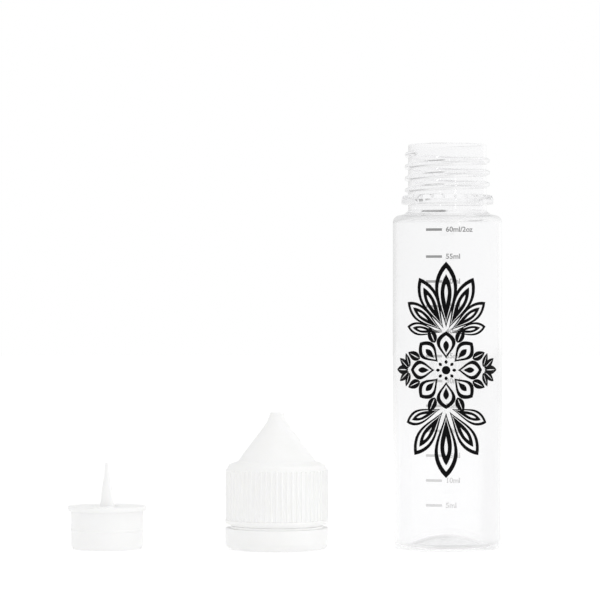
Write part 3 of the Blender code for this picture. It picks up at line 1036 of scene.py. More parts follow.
@dataclass(kw_only=True)
class RoundPiece:
    """A piece that is turned about an upright axis, and then gets what isn't round."""

    axis_x: float
    shop: Shop
    name: str
    item: Item
    slot: Slot
    closed: bool
    columns: int
    sharp_degrees: float = 45.0

    def outline(self) -> Polygon:
        """The outline that is turned, as distances from the axis and heights."""
        raise NotImplementedError

    def angles(self) -> list[float]:
        """Where round the axis the outline stands."""
        return even_angles(self.columns)

    def carve(self, piece: Piece) -> None:
        """Give the turned piece what isn't round; some have nothing more."""

    def build(self) -> None:
        """Build and dress the piece."""
        piece = turned(self.name, self.outline(), self.angles(), self.axis_x, self.closed)
        piece.data.materials.append(self.shop.plastics[self.slot])
        self.carve(piece)
        piece.data.shade_smooth()
        piece.data.set_sharp_from_angle(angle=math.radians(self.sharp_degrees))
        mount(piece, self.item, self.slot)

    def shape(self, piece: Piece, tree: Tree, values: dict[str, float]) -> None:
        """Run a tree, with its other sizes, round this axis and in this plastic."""
        apply_tree(piece, tree, self.shop.plastics[self.slot], values | {"Axis X": self.axis_x})

    def cut_thread(
        self, piece: Piece, neck: Neck, wall: float, depth: float, low: float, turns: float
    ) -> None:
        """Raise a screw thread on a round wall.

        Args:
            piece: The turned piece.
            neck: The thread's form.
            wall: The wall's radius.
            depth: How far the thread rises, negative inwards.
            low: The height of its lowest crest.
            turns: How many turns it has.
        """
        values = {
            "Wall Radius": wall,
            "Depth": depth,
            "Pitch": neck.pitch,
            "Low Height": low,
            "Turns": turns,
            "Start Angle": neck.start_angle,
            "Foot Width": neck.foot_width,
            "Crest Width": neck.crest_width,
            "Fade Turns": neck.fade_turns,
        }
        self.shape(piece, self.shop.trees.thread, values)

    def ring(self, name: str, teeth: Teeth, cuts: list[Cut], start: float = 0.0) -> Piece:
        """Loft one tooth and repeat it round the axis.

        Args:
            name: The ring's name.
            teeth: How many there are and how wide they are.
            cuts: How far through the tooth each cut is, its radii in and out, and its heights low and top.
            start: How many widths of a tooth the first one is turned.

        Returns:
            The ring.
        """
        width = math.tau / teeth.count * teeth.share
        mesh = bpy.data.meshes.new(name)
        with editing(mesh) as shape:
            rings = []
            for through, inner, outer, low, top in cuts:
                across, along = math.cos(width * through), math.sin(width * through)
                corners = ((inner, low), (outer, low), (outer, top), (inner, top))
                rings.append([shape.verts.new((r * across, r * along, z)) for r, z in corners])
            shape.faces.new(rings[0])
            shape.faces.new(rings[-1])
            for near, far in zip(rings, rings[1:]):
                for index, after in ((0, 1), (1, 2), (2, 3), (3, 0)):
                    shape.faces.new((near[index], near[after], far[after], far[index]))
            bmesh.ops.recalc_face_normals(shape, faces=shape.faces)
        ring = linked(name, mesh)
        self.shape(ring, self.shop.trees.ring, {"Start Angle": width * start, "Count": teeth.count})
        settle(ring)
        return ring


@dataclass(kw_only=True)
class Bottle(RoundPiece):
    """The blow-moulded bottle with its screw thread, tear-off bead and ratchet."""

    neck: Neck
    name: str = "bottle_shell"
    item: Item = Item.BOTTLE
    slot: Slot = Slot.PET
    closed: bool = False
    columns: int = 240
    sharp_degrees: float = 50.0
    radius: float = 15.57 * MM
    height: float = 115.4 * MM
    wall: float = 0.8 * MM
    heel: float = 3.0 * MM
    corner: float = 2.0 * MM
    shoulder: float = 95.6 * MM
    shoulder_fall: float = 0.8 * MM
    neck_fillet: float = 0.3 * MM
    inner_neck_fillet: float = 0.6 * MM
    rim_fillet: float = 0.3 * MM
    flare_height: float = 0.9 * MM
    flare_width: float = 1.15 * MM
    flare_sink: float = 0.1 * MM
    bore: float = 10.3 * MM
    thread_low: float = 102.3 * MM
    thread_turns: float = 3.0
    thread_step: float = 0.12 * MM
    bead_low: float = 98.3 * MM
    bead_top: float = 100.9 * MM
    bead_radius: float = 13.1 * MM
    bead_top_radius: float = 12.3 * MM
    ratchet_count: int = 24
    ratchet_foot: float = 11.75 * MM
    ratchet_crest: float = 12.95 * MM
    ratchet_low: float = 99.34 * MM
    ratchet_top: float = 100.72 * MM
    ratchet_share: float = 0.6
    ratchet_face: float = 0.003
    ratchet_step: float = 0.02 * MM
    punt_radius: float = 12.0 * MM
    punt_height: float = 3.2 * MM
    punt_steps: int = 16

    def punt(self, lift: float) -> list[Place]:
        """The dome pressed up into the floor.

        Args:
            lift: How far its surface is above the underside.

        Returns:
            Corners from its foot to just short of the axis.
        """
        corners = []
        for step in range(self.punt_steps):
            share = 1 - step / self.punt_steps
            height = lift + self.punt_height * (1 - share * share)
            corners.append((self.punt_radius * share, height, 0.0))
        return corners

    def bead(self) -> list[Place]:
        """Down the outside of the bead, with a small step where the ratchet's teeth end.

        Returns:
            Its corners.
        """
        slope_z = (self.bead_low + self.bead_top) / 2
        slope = (self.bead_radius - self.bead_top_radius) / (self.bead_top - slope_z)
        step_radius = self.bead_top_radius + (self.bead_top - self.ratchet_top) * slope
        middle = self.bead_top_radius + (self.bead_radius - self.bead_top_radius) * 0.5
        return [
            (self.neck.root_radius, self.bead_top, 0.15 * MM),
            (self.bead_top_radius, self.bead_top, 0.08 * MM),
            (step_radius - slope * self.ratchet_step, self.ratchet_top + self.ratchet_step, 0.0),
            (step_radius, self.ratchet_top, 0.0),
            (middle, (slope_z + self.bead_top) / 2, 0.0),
            (self.bead_radius, slope_z, 0.15 * MM),
            (self.bead_radius, self.bead_low, 0.35 * MM),
            (self.neck.root_radius, self.bead_low, 0.25 * MM),
        ]

    def outline(self) -> Polygon:
        """Up the inside from the middle of the floor, over the rim and down the outside.

        Returns:
            The outline's points.
        """
        root = self.neck.root_radius
        inside = self.radius - self.wall
        corners = [(0.0, self.punt_height + self.wall, 0.0)]
        corners += self.punt(self.wall)[::-1]
        corners += [
            (inside, self.wall, self.heel - self.wall),
            (inside, self.shoulder - self.shoulder_fall - self.wall, self.corner - self.wall),
            (self.bore, self.shoulder - self.wall, self.inner_neck_fillet),
            (self.bore, self.height, self.rim_fillet),
            (root, self.height, self.rim_fillet),
        ]
        corners += self.bead()
        corners += [
            (root, self.shoulder + self.flare_height, self.neck_fillet),
            (root + self.flare_width, self.shoulder - self.flare_sink, self.neck_fillet),
            (self.radius, self.shoulder - self.shoulder_fall, self.corner),
            (self.radius, 0.0, self.heel),
        ]
        corners += self.punt(0.0)
        corners.append((0.0, self.punt_height, 0.0))
        points = rounded(corners, closed=False, steps=7)
        return refined(points, root, self.bead_top, self.height, self.thread_step)

    def angles(self) -> list[float]:
        """Columns that fall on the ratchet's steep faces too.

        Returns:
            The angles in order.
        """
        pitch = math.tau / self.ratchet_count
        teeth = range(self.ratchet_count)
        steep = [pitch * (tooth + self.ratchet_share) + self.ratchet_face for tooth in teeth]
        return sorted(even_angles(self.columns) + steep)

    def carve(self, piece: Piece) -> None:
        """Raise the thread and the ratchet.

        Args:
            piece: The turned piece.
        """
        wall, depth = self.neck.root_radius, self.neck.thread_depth
        self.cut_thread(piece, self.neck, wall, depth, self.thread_low, self.thread_turns)
        ratchet = {
            "Count": self.ratchet_count,
            "Foot Radius": self.ratchet_foot,
            "Crest Radius": self.ratchet_crest,
            "Low Height": self.ratchet_low,
            "High Height": self.ratchet_top + self.ratchet_step / 2,
            "Share": self.ratchet_share,
        }
        self.shape(piece, self.shop.trees.ratchet, ratchet)
        settle(piece)


@dataclass(kw_only=True)
class Print:
    """Ink on the bottle's front. Its radius is where the middle of the ink lies."""

    axis_x: float
    shop: Shop
    radius: float
    ink: float
    strip: float = 0.7 * MM

    def wrap(self, piece: Piece, material: Material) -> None:
        """Cut a flat print into narrow strips, wrap it round the bottle and give the ink its thickness.

        Args:
            piece: The flat print.
            material: The ink.
        """
        with editing(piece.data) as shape:
            bmesh.ops.remove_doubles(shape, verts=shape.verts, dist=TINY)
            low = min(vertex.co.x for vertex in shape.verts)
            high = max(vertex.co.x for vertex in shape.verts)
            for cut in range(math.ceil(low / self.strip), math.floor(high / self.strip) + 1):
                everything = shape.verts[:] + shape.edges[:] + shape.faces[:]
                place = (cut * self.strip, 0, 0)
                bmesh.ops.bisect_plane(shape, geom=everything, plane_co=place, plane_no=(1, 0, 0))
            for face in shape.faces:
                if face.normal.y > 0:
                    face.normal_flip()
        wall = {"Axis X": self.axis_x, "Radius": self.radius}
        apply_tree(piece, self.shop.trees.wrap, material, wall)
        skin = piece.modifiers.new("ink", "SOLIDIFY")
        skin.thickness = self.ink
        skin.offset = 0.0
        settle(piece)
        mount(piece, Item.BOTTLE)


@dataclass(kw_only=True)
class VolumeScale(Print):
    """The printed scale: a dash and a label for every 5 ml."""

    radius: float = 15.5775 * MM
    ink: float = 0.015 * MM
    count: int = 12
    step_ml: int = 5
    low: float = 13.3 * MM
    step: float = 6.99 * MM
    top_extra: float = 0.6 * MM
    dash_left: float = -6.9 * MM
    dash_right: float = -2.25 * MM
    dash_height: float = 0.72 * MM
    label_left: float = -1.2 * MM
    label_size: float = 2.0 * MM
    label_width: float = 1.04
    label_weight: float = 0.045 * MM

    def build_dashes(self) -> None:
        """Build the dashes."""
        left, right, half = self.dash_left, self.dash_right, self.dash_height / 2
        edge = [(left, -half), (right, -half), (right, half), (left, half)]
        piece = flat_piece("volume_dashes", [[edge]])
        values = {"Low Height": self.low, "Step": self.step, "Top Extra": self.top_extra}
        apply_tree(piece, self.shop.trees.marks, self.shop.scale_ink, values | {"Count": self.count})
        settle(piece)
        self.wrap(piece, self.shop.scale_ink)

    def label(self, index: int) -> str:
        """The words beside one dash."""
        amount = (index + 1) * self.step_ml
        return f"{amount}ml/2oz" if index == self.count - 1 else f"{amount}ml"

    def build_labels(self) -> None:
        """Build the labels."""
        joined = bpy.data.meshes.new("volume_labels")
        with editing(joined) as shape:
            for index in range(self.count):
                words = bpy.data.curves.new("label", "FONT")
                words.body = self.label(index)
                words.size = self.label_size
                words.align_y = "CENTER"
                words.resolution_u = 3
                words.offset = self.label_weight
                holder = linked("label", words)
                mesh = plain_mesh(holder)
                bpy.data.objects.remove(holder)
                height = self.low + self.step * index + (self.top_extra if index == self.count - 1 else 0.0)
                for vertex in mesh.vertices:
                    x, y, _ = vertex.co
                    vertex.co = (self.label_left + x * self.label_width, 0.0, height + y)
                shape.from_mesh(mesh)
        self.wrap(linked("volume_labels", joined), self.shop.scale_ink)


@dataclass(frozen=True)
class Fan:
    """Copies of motifs that stand about a point, by degrees clockwise from straight up."""

    name: str
    motifs: list[Motif]
    centre: Point
    radius: float
    count: int
    first: float
    last: float
    shrink: float = 0.0

    def build(self, shop: Shop) -> Piece:
        """Build the fan.

        Args:
            shop: The trees and materials.

        Returns:
            The flat piece.
        """
        piece = flat_piece(self.name, self.motifs)
        values = {
            "Centre U": self.centre[0],
            "Centre V": self.centre[1],
            "Radius": self.radius,
            "First Angle": math.radians(self.first),
            "Last Angle": math.radians(self.last),
            "Shrink": self.shrink,
            "Count": self.count,
        }
        apply_tree(piece, shop.trees.fan, shop.ornament_ink, values)
        settle(piece)
        return piece


@dataclass(kw_only=True)
class Ornament(Print):
    """The black ornament: a rosette between two palmettes, with sprigs at its sides.

    A leaf's size is its length and width. A foot is how far it stands from the middle of its fan.
    """

    radius: float = 15.585 * MM
    ink: float = 0.03 * MM
    centre_u: float = -1.1 * MM
    centre_v: float = 51.3 * MM
    palmette_reach: float = 10.3 * MM
    sprig_reach: float = 11.0 * MM
    eye_radius: float = 1.2 * MM
    eye_steps: int = 24
    leaf_power: float = 0.85
    petal: Point = (7.6 * MM, 5.4 * MM)
    petal_foot: float = 3.3 * MM
    seed: Point = (1.2 * MM, 0.9 * MM)
    seed_foot: float = 1.7 * MM
    point: Point = (4.6 * MM, 2.6 * MM)
    point_foot: float = 8.3 * MM
    crown_plume: Point = (18.6 * MM, 6.3 * MM)
    base_plume: Point = (18.4 * MM, 6.6 * MM)
    plume_foot: float = 1.6 * MM
    sprig: Point = (5.6 * MM, 2.6 * MM)
    sprig_foot: float = 0.9 * MM

    def leaf(self, length: float, width: float, belly: float, foot: float = 0.0, steps: int = 14) -> Polygon:
        """A pointed leaf that stands on the origin.

        Args:
            length: Its length.
            width: Its greatest width.
            belly: Where along it that is, as a share of its length.
            foot: How far above the origin it starts.
            steps: How many segments each side has.

        Returns:
            Its edge.
        """
        bend = math.log(0.5) / math.log(belly)
        side = []
        for step in range(steps + 1):
            share = step / steps
            bulge = math.sin(math.pi * share**bend) ** self.leaf_power if 0 < step < steps else 0.0
            side.append((width / 2 * bulge, foot + length * share))
        return side + [(-u, v) for u, v in side[-2:0:-1]]

    def ribbed_leaf(self, length: float, width: float) -> list[Motif]:
        """A solid leaf with a bare midrib."""
        rib = self.leaf(length * 0.74, width * 0.1, 0.4, length * 0.1, steps=8)
        return [[self.leaf(length, width, 0.42), rib]]

    def hollow_petal(self, length: float, width: float) -> list[Motif]:
        """An outlined petal with a smaller solid one inside it.

        Args:
            length: Its length.
            width: Its greatest width.

        Returns:
            Two motifs.
        """
        hole = self.leaf(length * 0.74, width * 0.62, 0.58, length * 0.11)
        core = self.leaf(length * 0.46, width * 0.3, 0.6, length * 0.2)
        return [[self.leaf(length, width, 0.6), hole], [core]]

    def plume(self, length: float, width: float) -> list[Motif]:
        """A broad petal: a thick outline round an inner petal with a bare drop.

        Args:
            length: Its length.
            width: Its greatest width.

        Returns:
            Two motifs.
        """
        outer = self.leaf(length, width, 0.62)
        hole = self.leaf(length * 0.84, width * 0.7, 0.62, length * 0.06)
        inner = self.leaf(length * 0.72, width * 0.5, 0.6, length * 0.09)
        drop = self.leaf(length * 0.3, width * 0.15, 0.6, length * 0.36)
        return [[outer, hole], [inner, drop]]

    def build(self) -> None:
        """Build and dress the ornament."""
        u, v = self.centre_u, self.centre_v
        crown, base = (u, v + self.palmette_reach), (u, v - self.palmette_reach)
        right, left = (u + self.sprig_reach, v), (u - self.sprig_reach, v)
        petal, points = self.hollow_petal(*self.petal), self.ribbed_leaf(*self.point)
        seed, sprig = [[self.leaf(*self.seed, 0.5)]], self.ribbed_leaf(*self.sprig)
        fans = (
            Fan("petals", petal, (u, v), self.petal_foot, 8, 0, 315),
            Fan("seeds", seed, (u, v), self.seed_foot, 8, 0, 315),
            Fan("points", points, (u, v), self.point_foot, 8, 22.5, 337.5),
            Fan("crown", self.plume(*self.crown_plume), crown, self.plume_foot, 7, -81, 81, 0.42),
            Fan("base", self.plume(*self.base_plume), base, self.plume_foot, 5, 110, 250, 0.36),
            Fan("right", sprig, right, self.sprig_foot, 5, 22, 158, 0.25),
            Fan("left", sprig, left, self.sprig_foot, 5, -158, -22, 0.25),
        )
        eye, turns = self.eye_radius, even_angles(self.eye_steps)
        edge = [(u + eye * math.sin(turn), v + eye * math.cos(turn)) for turn in turns]
        piece = flat_piece("ornament", [[edge]])
        absorb(piece, *(fan.build(self.shop) for fan in fans))
        self.wrap(piece, self.shop.ornament_ink)


@dataclass(kw_only=True)
class DropperTip(RoundPiece):
    """The press-in plug with its flange, moat and tapering nozzle."""

    name: str = "tip_body"
    item: Item = Item.TIP
    slot: Slot = Slot.LDPE
    closed: bool = True
    columns: int = 128
    sharp_degrees: float = 50.0
    plug_radius: float = 10.25 * MM
    plug_length: float = 10.9 * MM
    flange_radius: float = 11.2 * MM
    flange_top: float = 12.2 * MM
    wall: float = 1.1 * MM
    seal_radius: float = 10.4 * MM
    seal_width: float = 0.8 * MM
    chamfer: float = 1.0 * MM
    moat_radius: float = 3.7 * MM
    moat_draft: float = 0.7 * MM
    moat_depth: float = 2.0 * MM
    nozzle_foot: float = 2.1 * MM
    nozzle_profile: tuple[Point, ...] = ((0.6, 12.3), (0.9, 8.364), (1.395, 5.658), (1.8, 1.6))
    nozzle_wall: float = 0.65 * MM
    nozzle_bend: float = 12 * MM
    nozzle_fillet: float = 2.0 * MM
    orifice: float = 0.3 * MM

    def outline(self) -> Polygon:
        """Down the nozzle, across the moat and flange, down the plug and back up the bore.

        Returns:
            The outline's points.
        """
        top, foot, plug, web = self.flange_top, self.nozzle_foot, self.plug_radius, self.wall
        floor = top - self.moat_depth
        seal = self.plug_length / 2
        half_seal = self.seal_width / 2
        outside = [(radius * MM, top + rise * MM) for radius, rise in self.nozzle_profile]
        end_radius, end_z = outside[0]
        taper = (foot - self.nozzle_wall - self.orifice) / (foot - end_radius)
        corners = [(end_radius, end_z, 0.12 * MM)]
        corners += [(radius, height, self.nozzle_bend) for radius, height in outside[1:]]
        corners += [
            (foot, top, self.nozzle_fillet),
            (foot, floor, 0.3 * MM),
            (self.moat_radius - self.moat_draft, floor, 0.3 * MM),
            (self.moat_radius, top, 0.15 * MM),
            (self.flange_radius, top, 0.3 * MM),
            (self.flange_radius, self.plug_length, 0.12 * MM),
            (plug, self.plug_length, 0.15 * MM),
            (plug, seal + half_seal, 0.3 * MM),
            (self.seal_radius, seal, 0.3 * MM),
            (plug, seal - half_seal, 0.3 * MM),
            (plug, self.chamfer, 0.6 * MM),
            (plug - self.chamfer / 2, 0.0, 0.15 * MM),
            (plug - web, 0.0, 0.15 * MM),
            (plug - web, top - web, 0.6 * MM),
            (self.moat_radius + web, top - web, 0.3 * MM),
            (self.moat_radius + web - self.moat_draft, floor - web, 0.4 * MM),
            (foot - self.nozzle_wall, floor - web, 0.3 * MM),
        ]
        for radius, height in reversed(outside[1:]):
            corners.append((self.orifice + (radius - end_radius) * taper, height, self.nozzle_bend))
        corners.append((self.orifice, end_z, 0.08 * MM))
        return rounded(corners, closed=True, steps=5)


@dataclass(kw_only=True)
class TamperBand(RoundPiece):
    """The tear-off band with its bridge stubs and pawls."""

    name: str = "band_ring"
    item: Item = Item.BAND
    slot: Slot = Slot.PP
    closed: bool = True
    columns: int = 144
    radius: float = 14.7 * MM
    height: float = 6.05 * MM
    corner_width: float = 1.5 * MM
    corner_height: float = 2.3 * MM
    corner_steps: int = 8
    lip_bore: float = 12.6 * MM
    lip_top: float = 2.0 * MM
    lip_chamfer: float = 0.3 * MM
    recess_bore: float = 13.4 * MM
    ledge_bore: float = 12.35 * MM
    ledge: float = 0.85 * MM
    collar_radius: float = 13.2 * MM
    collar_top: float = 6.55 * MM
    bridges: Teeth = Teeth(12, 0.14)
    bridge_height: float = 0.09 * MM
    bridge_inner: float = 12.55 * MM
    bridge_outer: float = 12.95 * MM
    pawls: Teeth = Teeth(12, 0.16)
    pawl_height: float = 0.65 * MM
    root: float = 0.15 * MM

    def outline(self) -> Polygon:
        """Down the outside, round the foot, over the snap lip and up the recess for the bead.

        Returns:
            The outline's points.
        """
        ledge_low = self.height - self.ledge
        corners = [
            (self.collar_radius, self.collar_top, 0.1 * MM),
            (self.collar_radius, self.height, 0.1 * MM),
            (self.radius, self.height, 0.25 * MM),
            (self.radius, self.corner_height, 0.0),
        ]
        for step in range(1, self.corner_steps + 1):
            angle = math.pi / 2 * step / self.corner_steps
            radius = self.radius - self.corner_width * (1 - math.cos(angle))
            corners.append((radius, self.corner_height * (1 - math.sin(angle)), 0.0))
        corners += [
            (self.lip_bore + self.lip_chamfer / 2, 0.0, 0.1 * MM),
            (self.lip_bore, self.lip_chamfer, 0.2 * MM),
            (self.lip_bore, self.lip_top - self.lip_chamfer, 0.2 * MM),
            (self.recess_bore, self.lip_top, 0.2 * MM),
            (self.recess_bore, ledge_low, 0.15 * MM),
            (self.ledge_bore, ledge_low, 0.12 * MM),
            (self.ledge_bore, self.collar_top, 0.1 * MM),
        ]
        return rounded(corners, closed=True, steps=4)

    def carve(self, piece: Piece) -> None:
        """Add the bridge stubs and the pawls.

        Args:
            piece: The turned piece.
        """
        top, under = self.collar_top, self.height - self.ledge
        size = (self.bridge_inner, self.bridge_outer, top - self.root, top + self.bridge_height)
        cuts = [(through, *size) for through in (0.0, 0.5, 1.0)]
        bridges = self.ring("bridges", self.bridges, cuts)
        size = (self.lip_bore, self.recess_bore + self.root, under - self.pawl_height, under + self.root)
        absorb(piece, bridges, self.ring("pawls", self.pawls, [(0.0, *size), (1.0, *size)], 1.0))


@dataclass(kw_only=True)
class InnerCap(RoundPiece):
    """The threaded inner cap with its nozzle socket and drive teeth."""

    neck: Neck
    name: str = "inner_cap_body"
    item: Item = Item.INNER_CAP
    slot: Slot = Slot.PP
    closed: bool = False
    columns: int = 180
    low: float = 6.7 * MM
    ceiling: float = 20.7 * MM
    ceiling_top: float = 21.6 * MM
    bore: float = 12.35 * MM
    radius: float = 13.05 * MM
    retainer_radius: float = 13.5 * MM
    retainer_low: float = 8.8 * MM
    retainer_top: float = 9.8 * MM
    thread_crest: float = 11.5 * MM
    thread_low: float = 8.0 * MM
    thread_turns: float = 2.5
    thread_step: float = 0.2 * MM
    tower_bore: float = 3.0 * MM
    tower_radius: float = 3.8 * MM
    tower_end: float = 31.3 * MM
    spigot_bore: float = 1.3 * MM
    spigot_radius: float = 2.1 * MM
    spigot_end: float = 33.4 * MM
    wall: float = 0.8 * MM
    pin_radius: float = 0.22 * MM
    pin_end: float = 32.6 * MM
    teeth: DriveTeeth = DriveTeeth()
    tooth_top: float = 22.6 * MM
    root: float = 0.15 * MM

    def outline(self) -> Polygon:
        """Down the outside from the spigot's closed end, round the skirt and up the inside.

        Returns:
            The outline's points.
        """
        top = self.spigot_end + self.wall
        step = self.tower_end + self.wall
        corners = [
            (0.0, top, 0.0),
            (self.spigot_radius, top, 0.4 * MM),
            (self.spigot_radius, step, 0.3 * MM),
            (self.tower_radius, step, 0.4 * MM),
            (self.tower_radius, self.ceiling_top, 0.5 * MM),
            (self.radius, self.ceiling_top, 0.45 * MM),
            (self.radius, self.retainer_top, 0.1 * MM),
            (self.retainer_radius, (self.retainer_low + self.retainer_top) / 2, 0.15 * MM),
            (self.retainer_radius, self.retainer_low, 0.1 * MM),
            (self.radius, self.retainer_low, 0.1 * MM),
            (self.radius, self.low, 0.12 * MM),
            (self.bore, self.low, 0.12 * MM),
            (self.bore, self.ceiling, 0.3 * MM),
            (self.tower_bore, self.ceiling, 0.3 * MM),
            (self.tower_bore, self.tower_end, 0.2 * MM),
            (self.spigot_bore, self.tower_end, 0.2 * MM),
            (self.spigot_bore, self.spigot_end, 0.2 * MM),
            (self.pin_radius, self.spigot_end, 0.05 * MM),
            (self.pin_radius, self.pin_end, 0.08 * MM),
            (0.0, self.pin_end, 0.0),
        ]
        points = rounded(corners, closed=False, steps=4)
        return refined(points, self.bore, self.low, self.ceiling, self.thread_step)

    def carve(self, piece: Piece) -> None:
        """Cut the thread and add the drive teeth.

        Args:
            piece: The turned piece.
        """
        depth = self.thread_crest - self.bore
        self.cut_thread(piece, self.neck, self.bore, depth, self.thread_low, self.thread_turns)
        settle(piece)
        size = (self.teeth.inner, self.teeth.outer, self.ceiling_top - self.root)
        cuts = [(0.0, *size, self.ceiling_top), (0.5, *size, self.tooth_top), (1.0, *size, self.tooth_top)]
        absorb(piece, self.ring("inner_teeth", self.teeth, cuts))


@dataclass(kw_only=True)
class OuterCap(RoundPiece):
    """The ribbed outer cap with its cone, retaining lip and hanging drive teeth.

    The cone's profile is in shares of its width and height. The ribs' columns are in shares of their pitch.
    """

    name: str = "outer_cap_body"
    item: Item = Item.OUTER_CAP
    slot: Slot = Slot.PP
    closed: bool = False
    columns: int = 60
    low: float = 7.2 * MM
    rim: float = 8.5 * MM
    rim_fall: float = 0.17 * MM
    radius: float = 14.35 * MM
    rim_radius: float = 14.7 * MM
    bore: float = 13.75 * MM
    lip_bore: float = 13.3 * MM
    edge: float = 22.6 * MM
    shoulder: float = 25.0 * MM
    shoulder_inset: float = 0.75 * MM
    shoulder_fall: float = 0.9 * MM
    height: float = 38.9 * MM
    peak_radius: float = 1.85 * MM
    cone_profile: tuple[Point, ...] = (
        (0.08, 0.835),
        (0.21, 0.705),
        (0.4, 0.535),
        (0.6, 0.364),
        (0.82, 0.165),
    )
    cone_bend: float = 14 * MM
    cone_wall: float = 0.8 * MM
    cone_foot: float = 11.1 * MM
    inside_bend: float = 3 * MM
    rib_depth: float = 0.3 * MM
    rib_run_out: float = 0.4 * MM
    rib_over: float = 0.3 * MM
    rib_foot_share: float = 0.53
    rib_crest_share: float = 0.19
    rib_columns: tuple[float, ...] = (0.0, 0.095, 0.15, 0.21, 0.265, 0.36)
    teeth: DriveTeeth = DriveTeeth()
    tooth_low: float = 22.9 * MM
    tooth_ramp: float = 1.0 * MM
    tooth_start: float = 1.25

    def cone(self) -> Polygon:
        """The cone and shoulder from the peak to the top of the ribbed wall.

        Returns:
            Distances from the axis and heights.
        """
        rise = self.height - self.shoulder
        points = [(self.peak_radius, self.height)]
        for across, up in self.cone_profile:
            radius = self.peak_radius + (self.cone_foot - self.peak_radius) * across
            points.append((radius, self.shoulder + rise * up))
        points.append((self.cone_foot, self.shoulder))
        points.append((self.radius - self.shoulder_inset, self.shoulder - self.shoulder_fall))
        return points + [(self.radius, self.edge)]

    def outline(self) -> Polygon:
        """Down the cone and the wall, round the retaining lip and up the inside.

        Returns:
            The outline's points.
        """
        cone = self.cone()
        inside = self.inset(cone, self.cone_wall)
        inside[0] = (inside[0][0], self.height - self.cone_wall)
        inside[-1] = (self.bore, inside[-1][1])
        corners = [(0.0, self.height, 0.0), (*cone[0], 0.35 * MM)]
        corners += [(*point, self.cone_bend) for point in cone[1:-3]]
        corners += [(*cone[-3], 1.2 * MM), (*cone[-2], 0.8 * MM), (*cone[-1], 1.0 * MM)]
        corners += [
            (self.radius, self.rim, 0.1 * MM),
            (self.rim_radius, self.rim - self.rim_fall, 0.12 * MM),
            (self.rim_radius, self.low, 0.2 * MM),
            (self.bore, self.low, 0.15 * MM),
            (self.lip_bore, (self.low + self.rim) / 2, 0.15 * MM),
            (self.lip_bore, self.rim, 0.1 * MM),
            (self.bore, self.rim, 0.1 * MM),
        ]
        corners += [(*point, self.inside_bend) for point in reversed(inside)]
        corners.append((0.0, self.height - self.cone_wall, 0.0))
        return rounded(corners, closed=False, steps=4)

    @staticmethod
    def inset(outline: Polygon, wall: float) -> Polygon:
        """Move an outline that runs down its outer side inwards.

        Args:
            outline: The outline.
            wall: How far it moves.

        Returns:
            The moved outline.
        """
        moved = []
        for index, point in enumerate(outline):
            before = Vector(outline[max(index - 1, 0)])
            after = Vector(outline[min(index + 1, len(outline) - 1)])
            along = (after - before).normalized()
            moved.append((point[0] + along.y * wall, point[1] - along.x * wall))
        return moved

    def angles(self) -> list[float]:
        """Columns that fall on the ribs' edges.

        Returns:
            The angles in order.
        """
        left = [-share for share in self.rib_columns[:0:-1]]
        offsets = [-0.5, *left, *self.rib_columns]
        pitch = math.tau / self.columns
        return [pitch * (index + offset) for index in range(self.columns) for offset in offsets]

    def carve(self, piece: Piece) -> None:
        """Raise the ribs and hang the drive teeth.

        Args:
            piece: The turned piece.
        """
        ribs = {
            "Wall Radius": self.radius,
            "Depth": self.rib_depth,
            "Low Height": self.rim - self.rib_run_out,
            "High Height": self.edge + self.rib_over,
            "Run Out": self.rib_run_out,
            "Foot Share": self.rib_foot_share,
            "Crest Share": self.rib_crest_share,
            "Count": self.columns,
        }
        self.shape(piece, self.shop.trees.ribs, ribs)
        settle(piece)
        radii = (self.teeth.inner, self.teeth.outer)
        top = self.shoulder - self.cone_wall / 2
        cuts = [
            (0.0, *radii, self.tooth_low + self.tooth_ramp, top),
            (0.5, *radii, self.tooth_low, top),
            (1.0, *radii, self.tooth_low, top),
        ]
        absorb(piece, self.ring("outer_teeth", self.teeth, cuts, self.tooth_start))


# The studio


@dataclass(frozen=True)
class Lamp:
    """A soft rectangular lamp that is turned to the row."""

    name: str
    place: Place
    size: Point
    power: float
    mirrored: bool
    aim: Place = (0.02, 0.0, 0.05)

    def build(self) -> None:
        """Hang the lamp."""
        lamp = bpy.data.lights.new(self.name, "AREA")
        lamp.shape = "RECTANGLE"
        lamp.size, lamp.size_y = self.size
        lamp.energy = self.power
        holder = linked(self.name, lamp)
        holder.location = self.place
        holder.visible_glossy = self.mirrored
        holder.visible_transmission = self.mirrored
        way = Vector(self.aim) - Vector(self.place)
        holder.rotation_euler = way.to_track_quat("-Z", "Y").to_euler()


LAMPS = (
    Lamp("side_lamp", (1.88, 0.1, 0.95), (1.8, 1.8), 11.0, False),
    Lamp("strip_lamp", (0.47, -1.1, 0.139), (0.06, 0.028), 0.03, True),
)


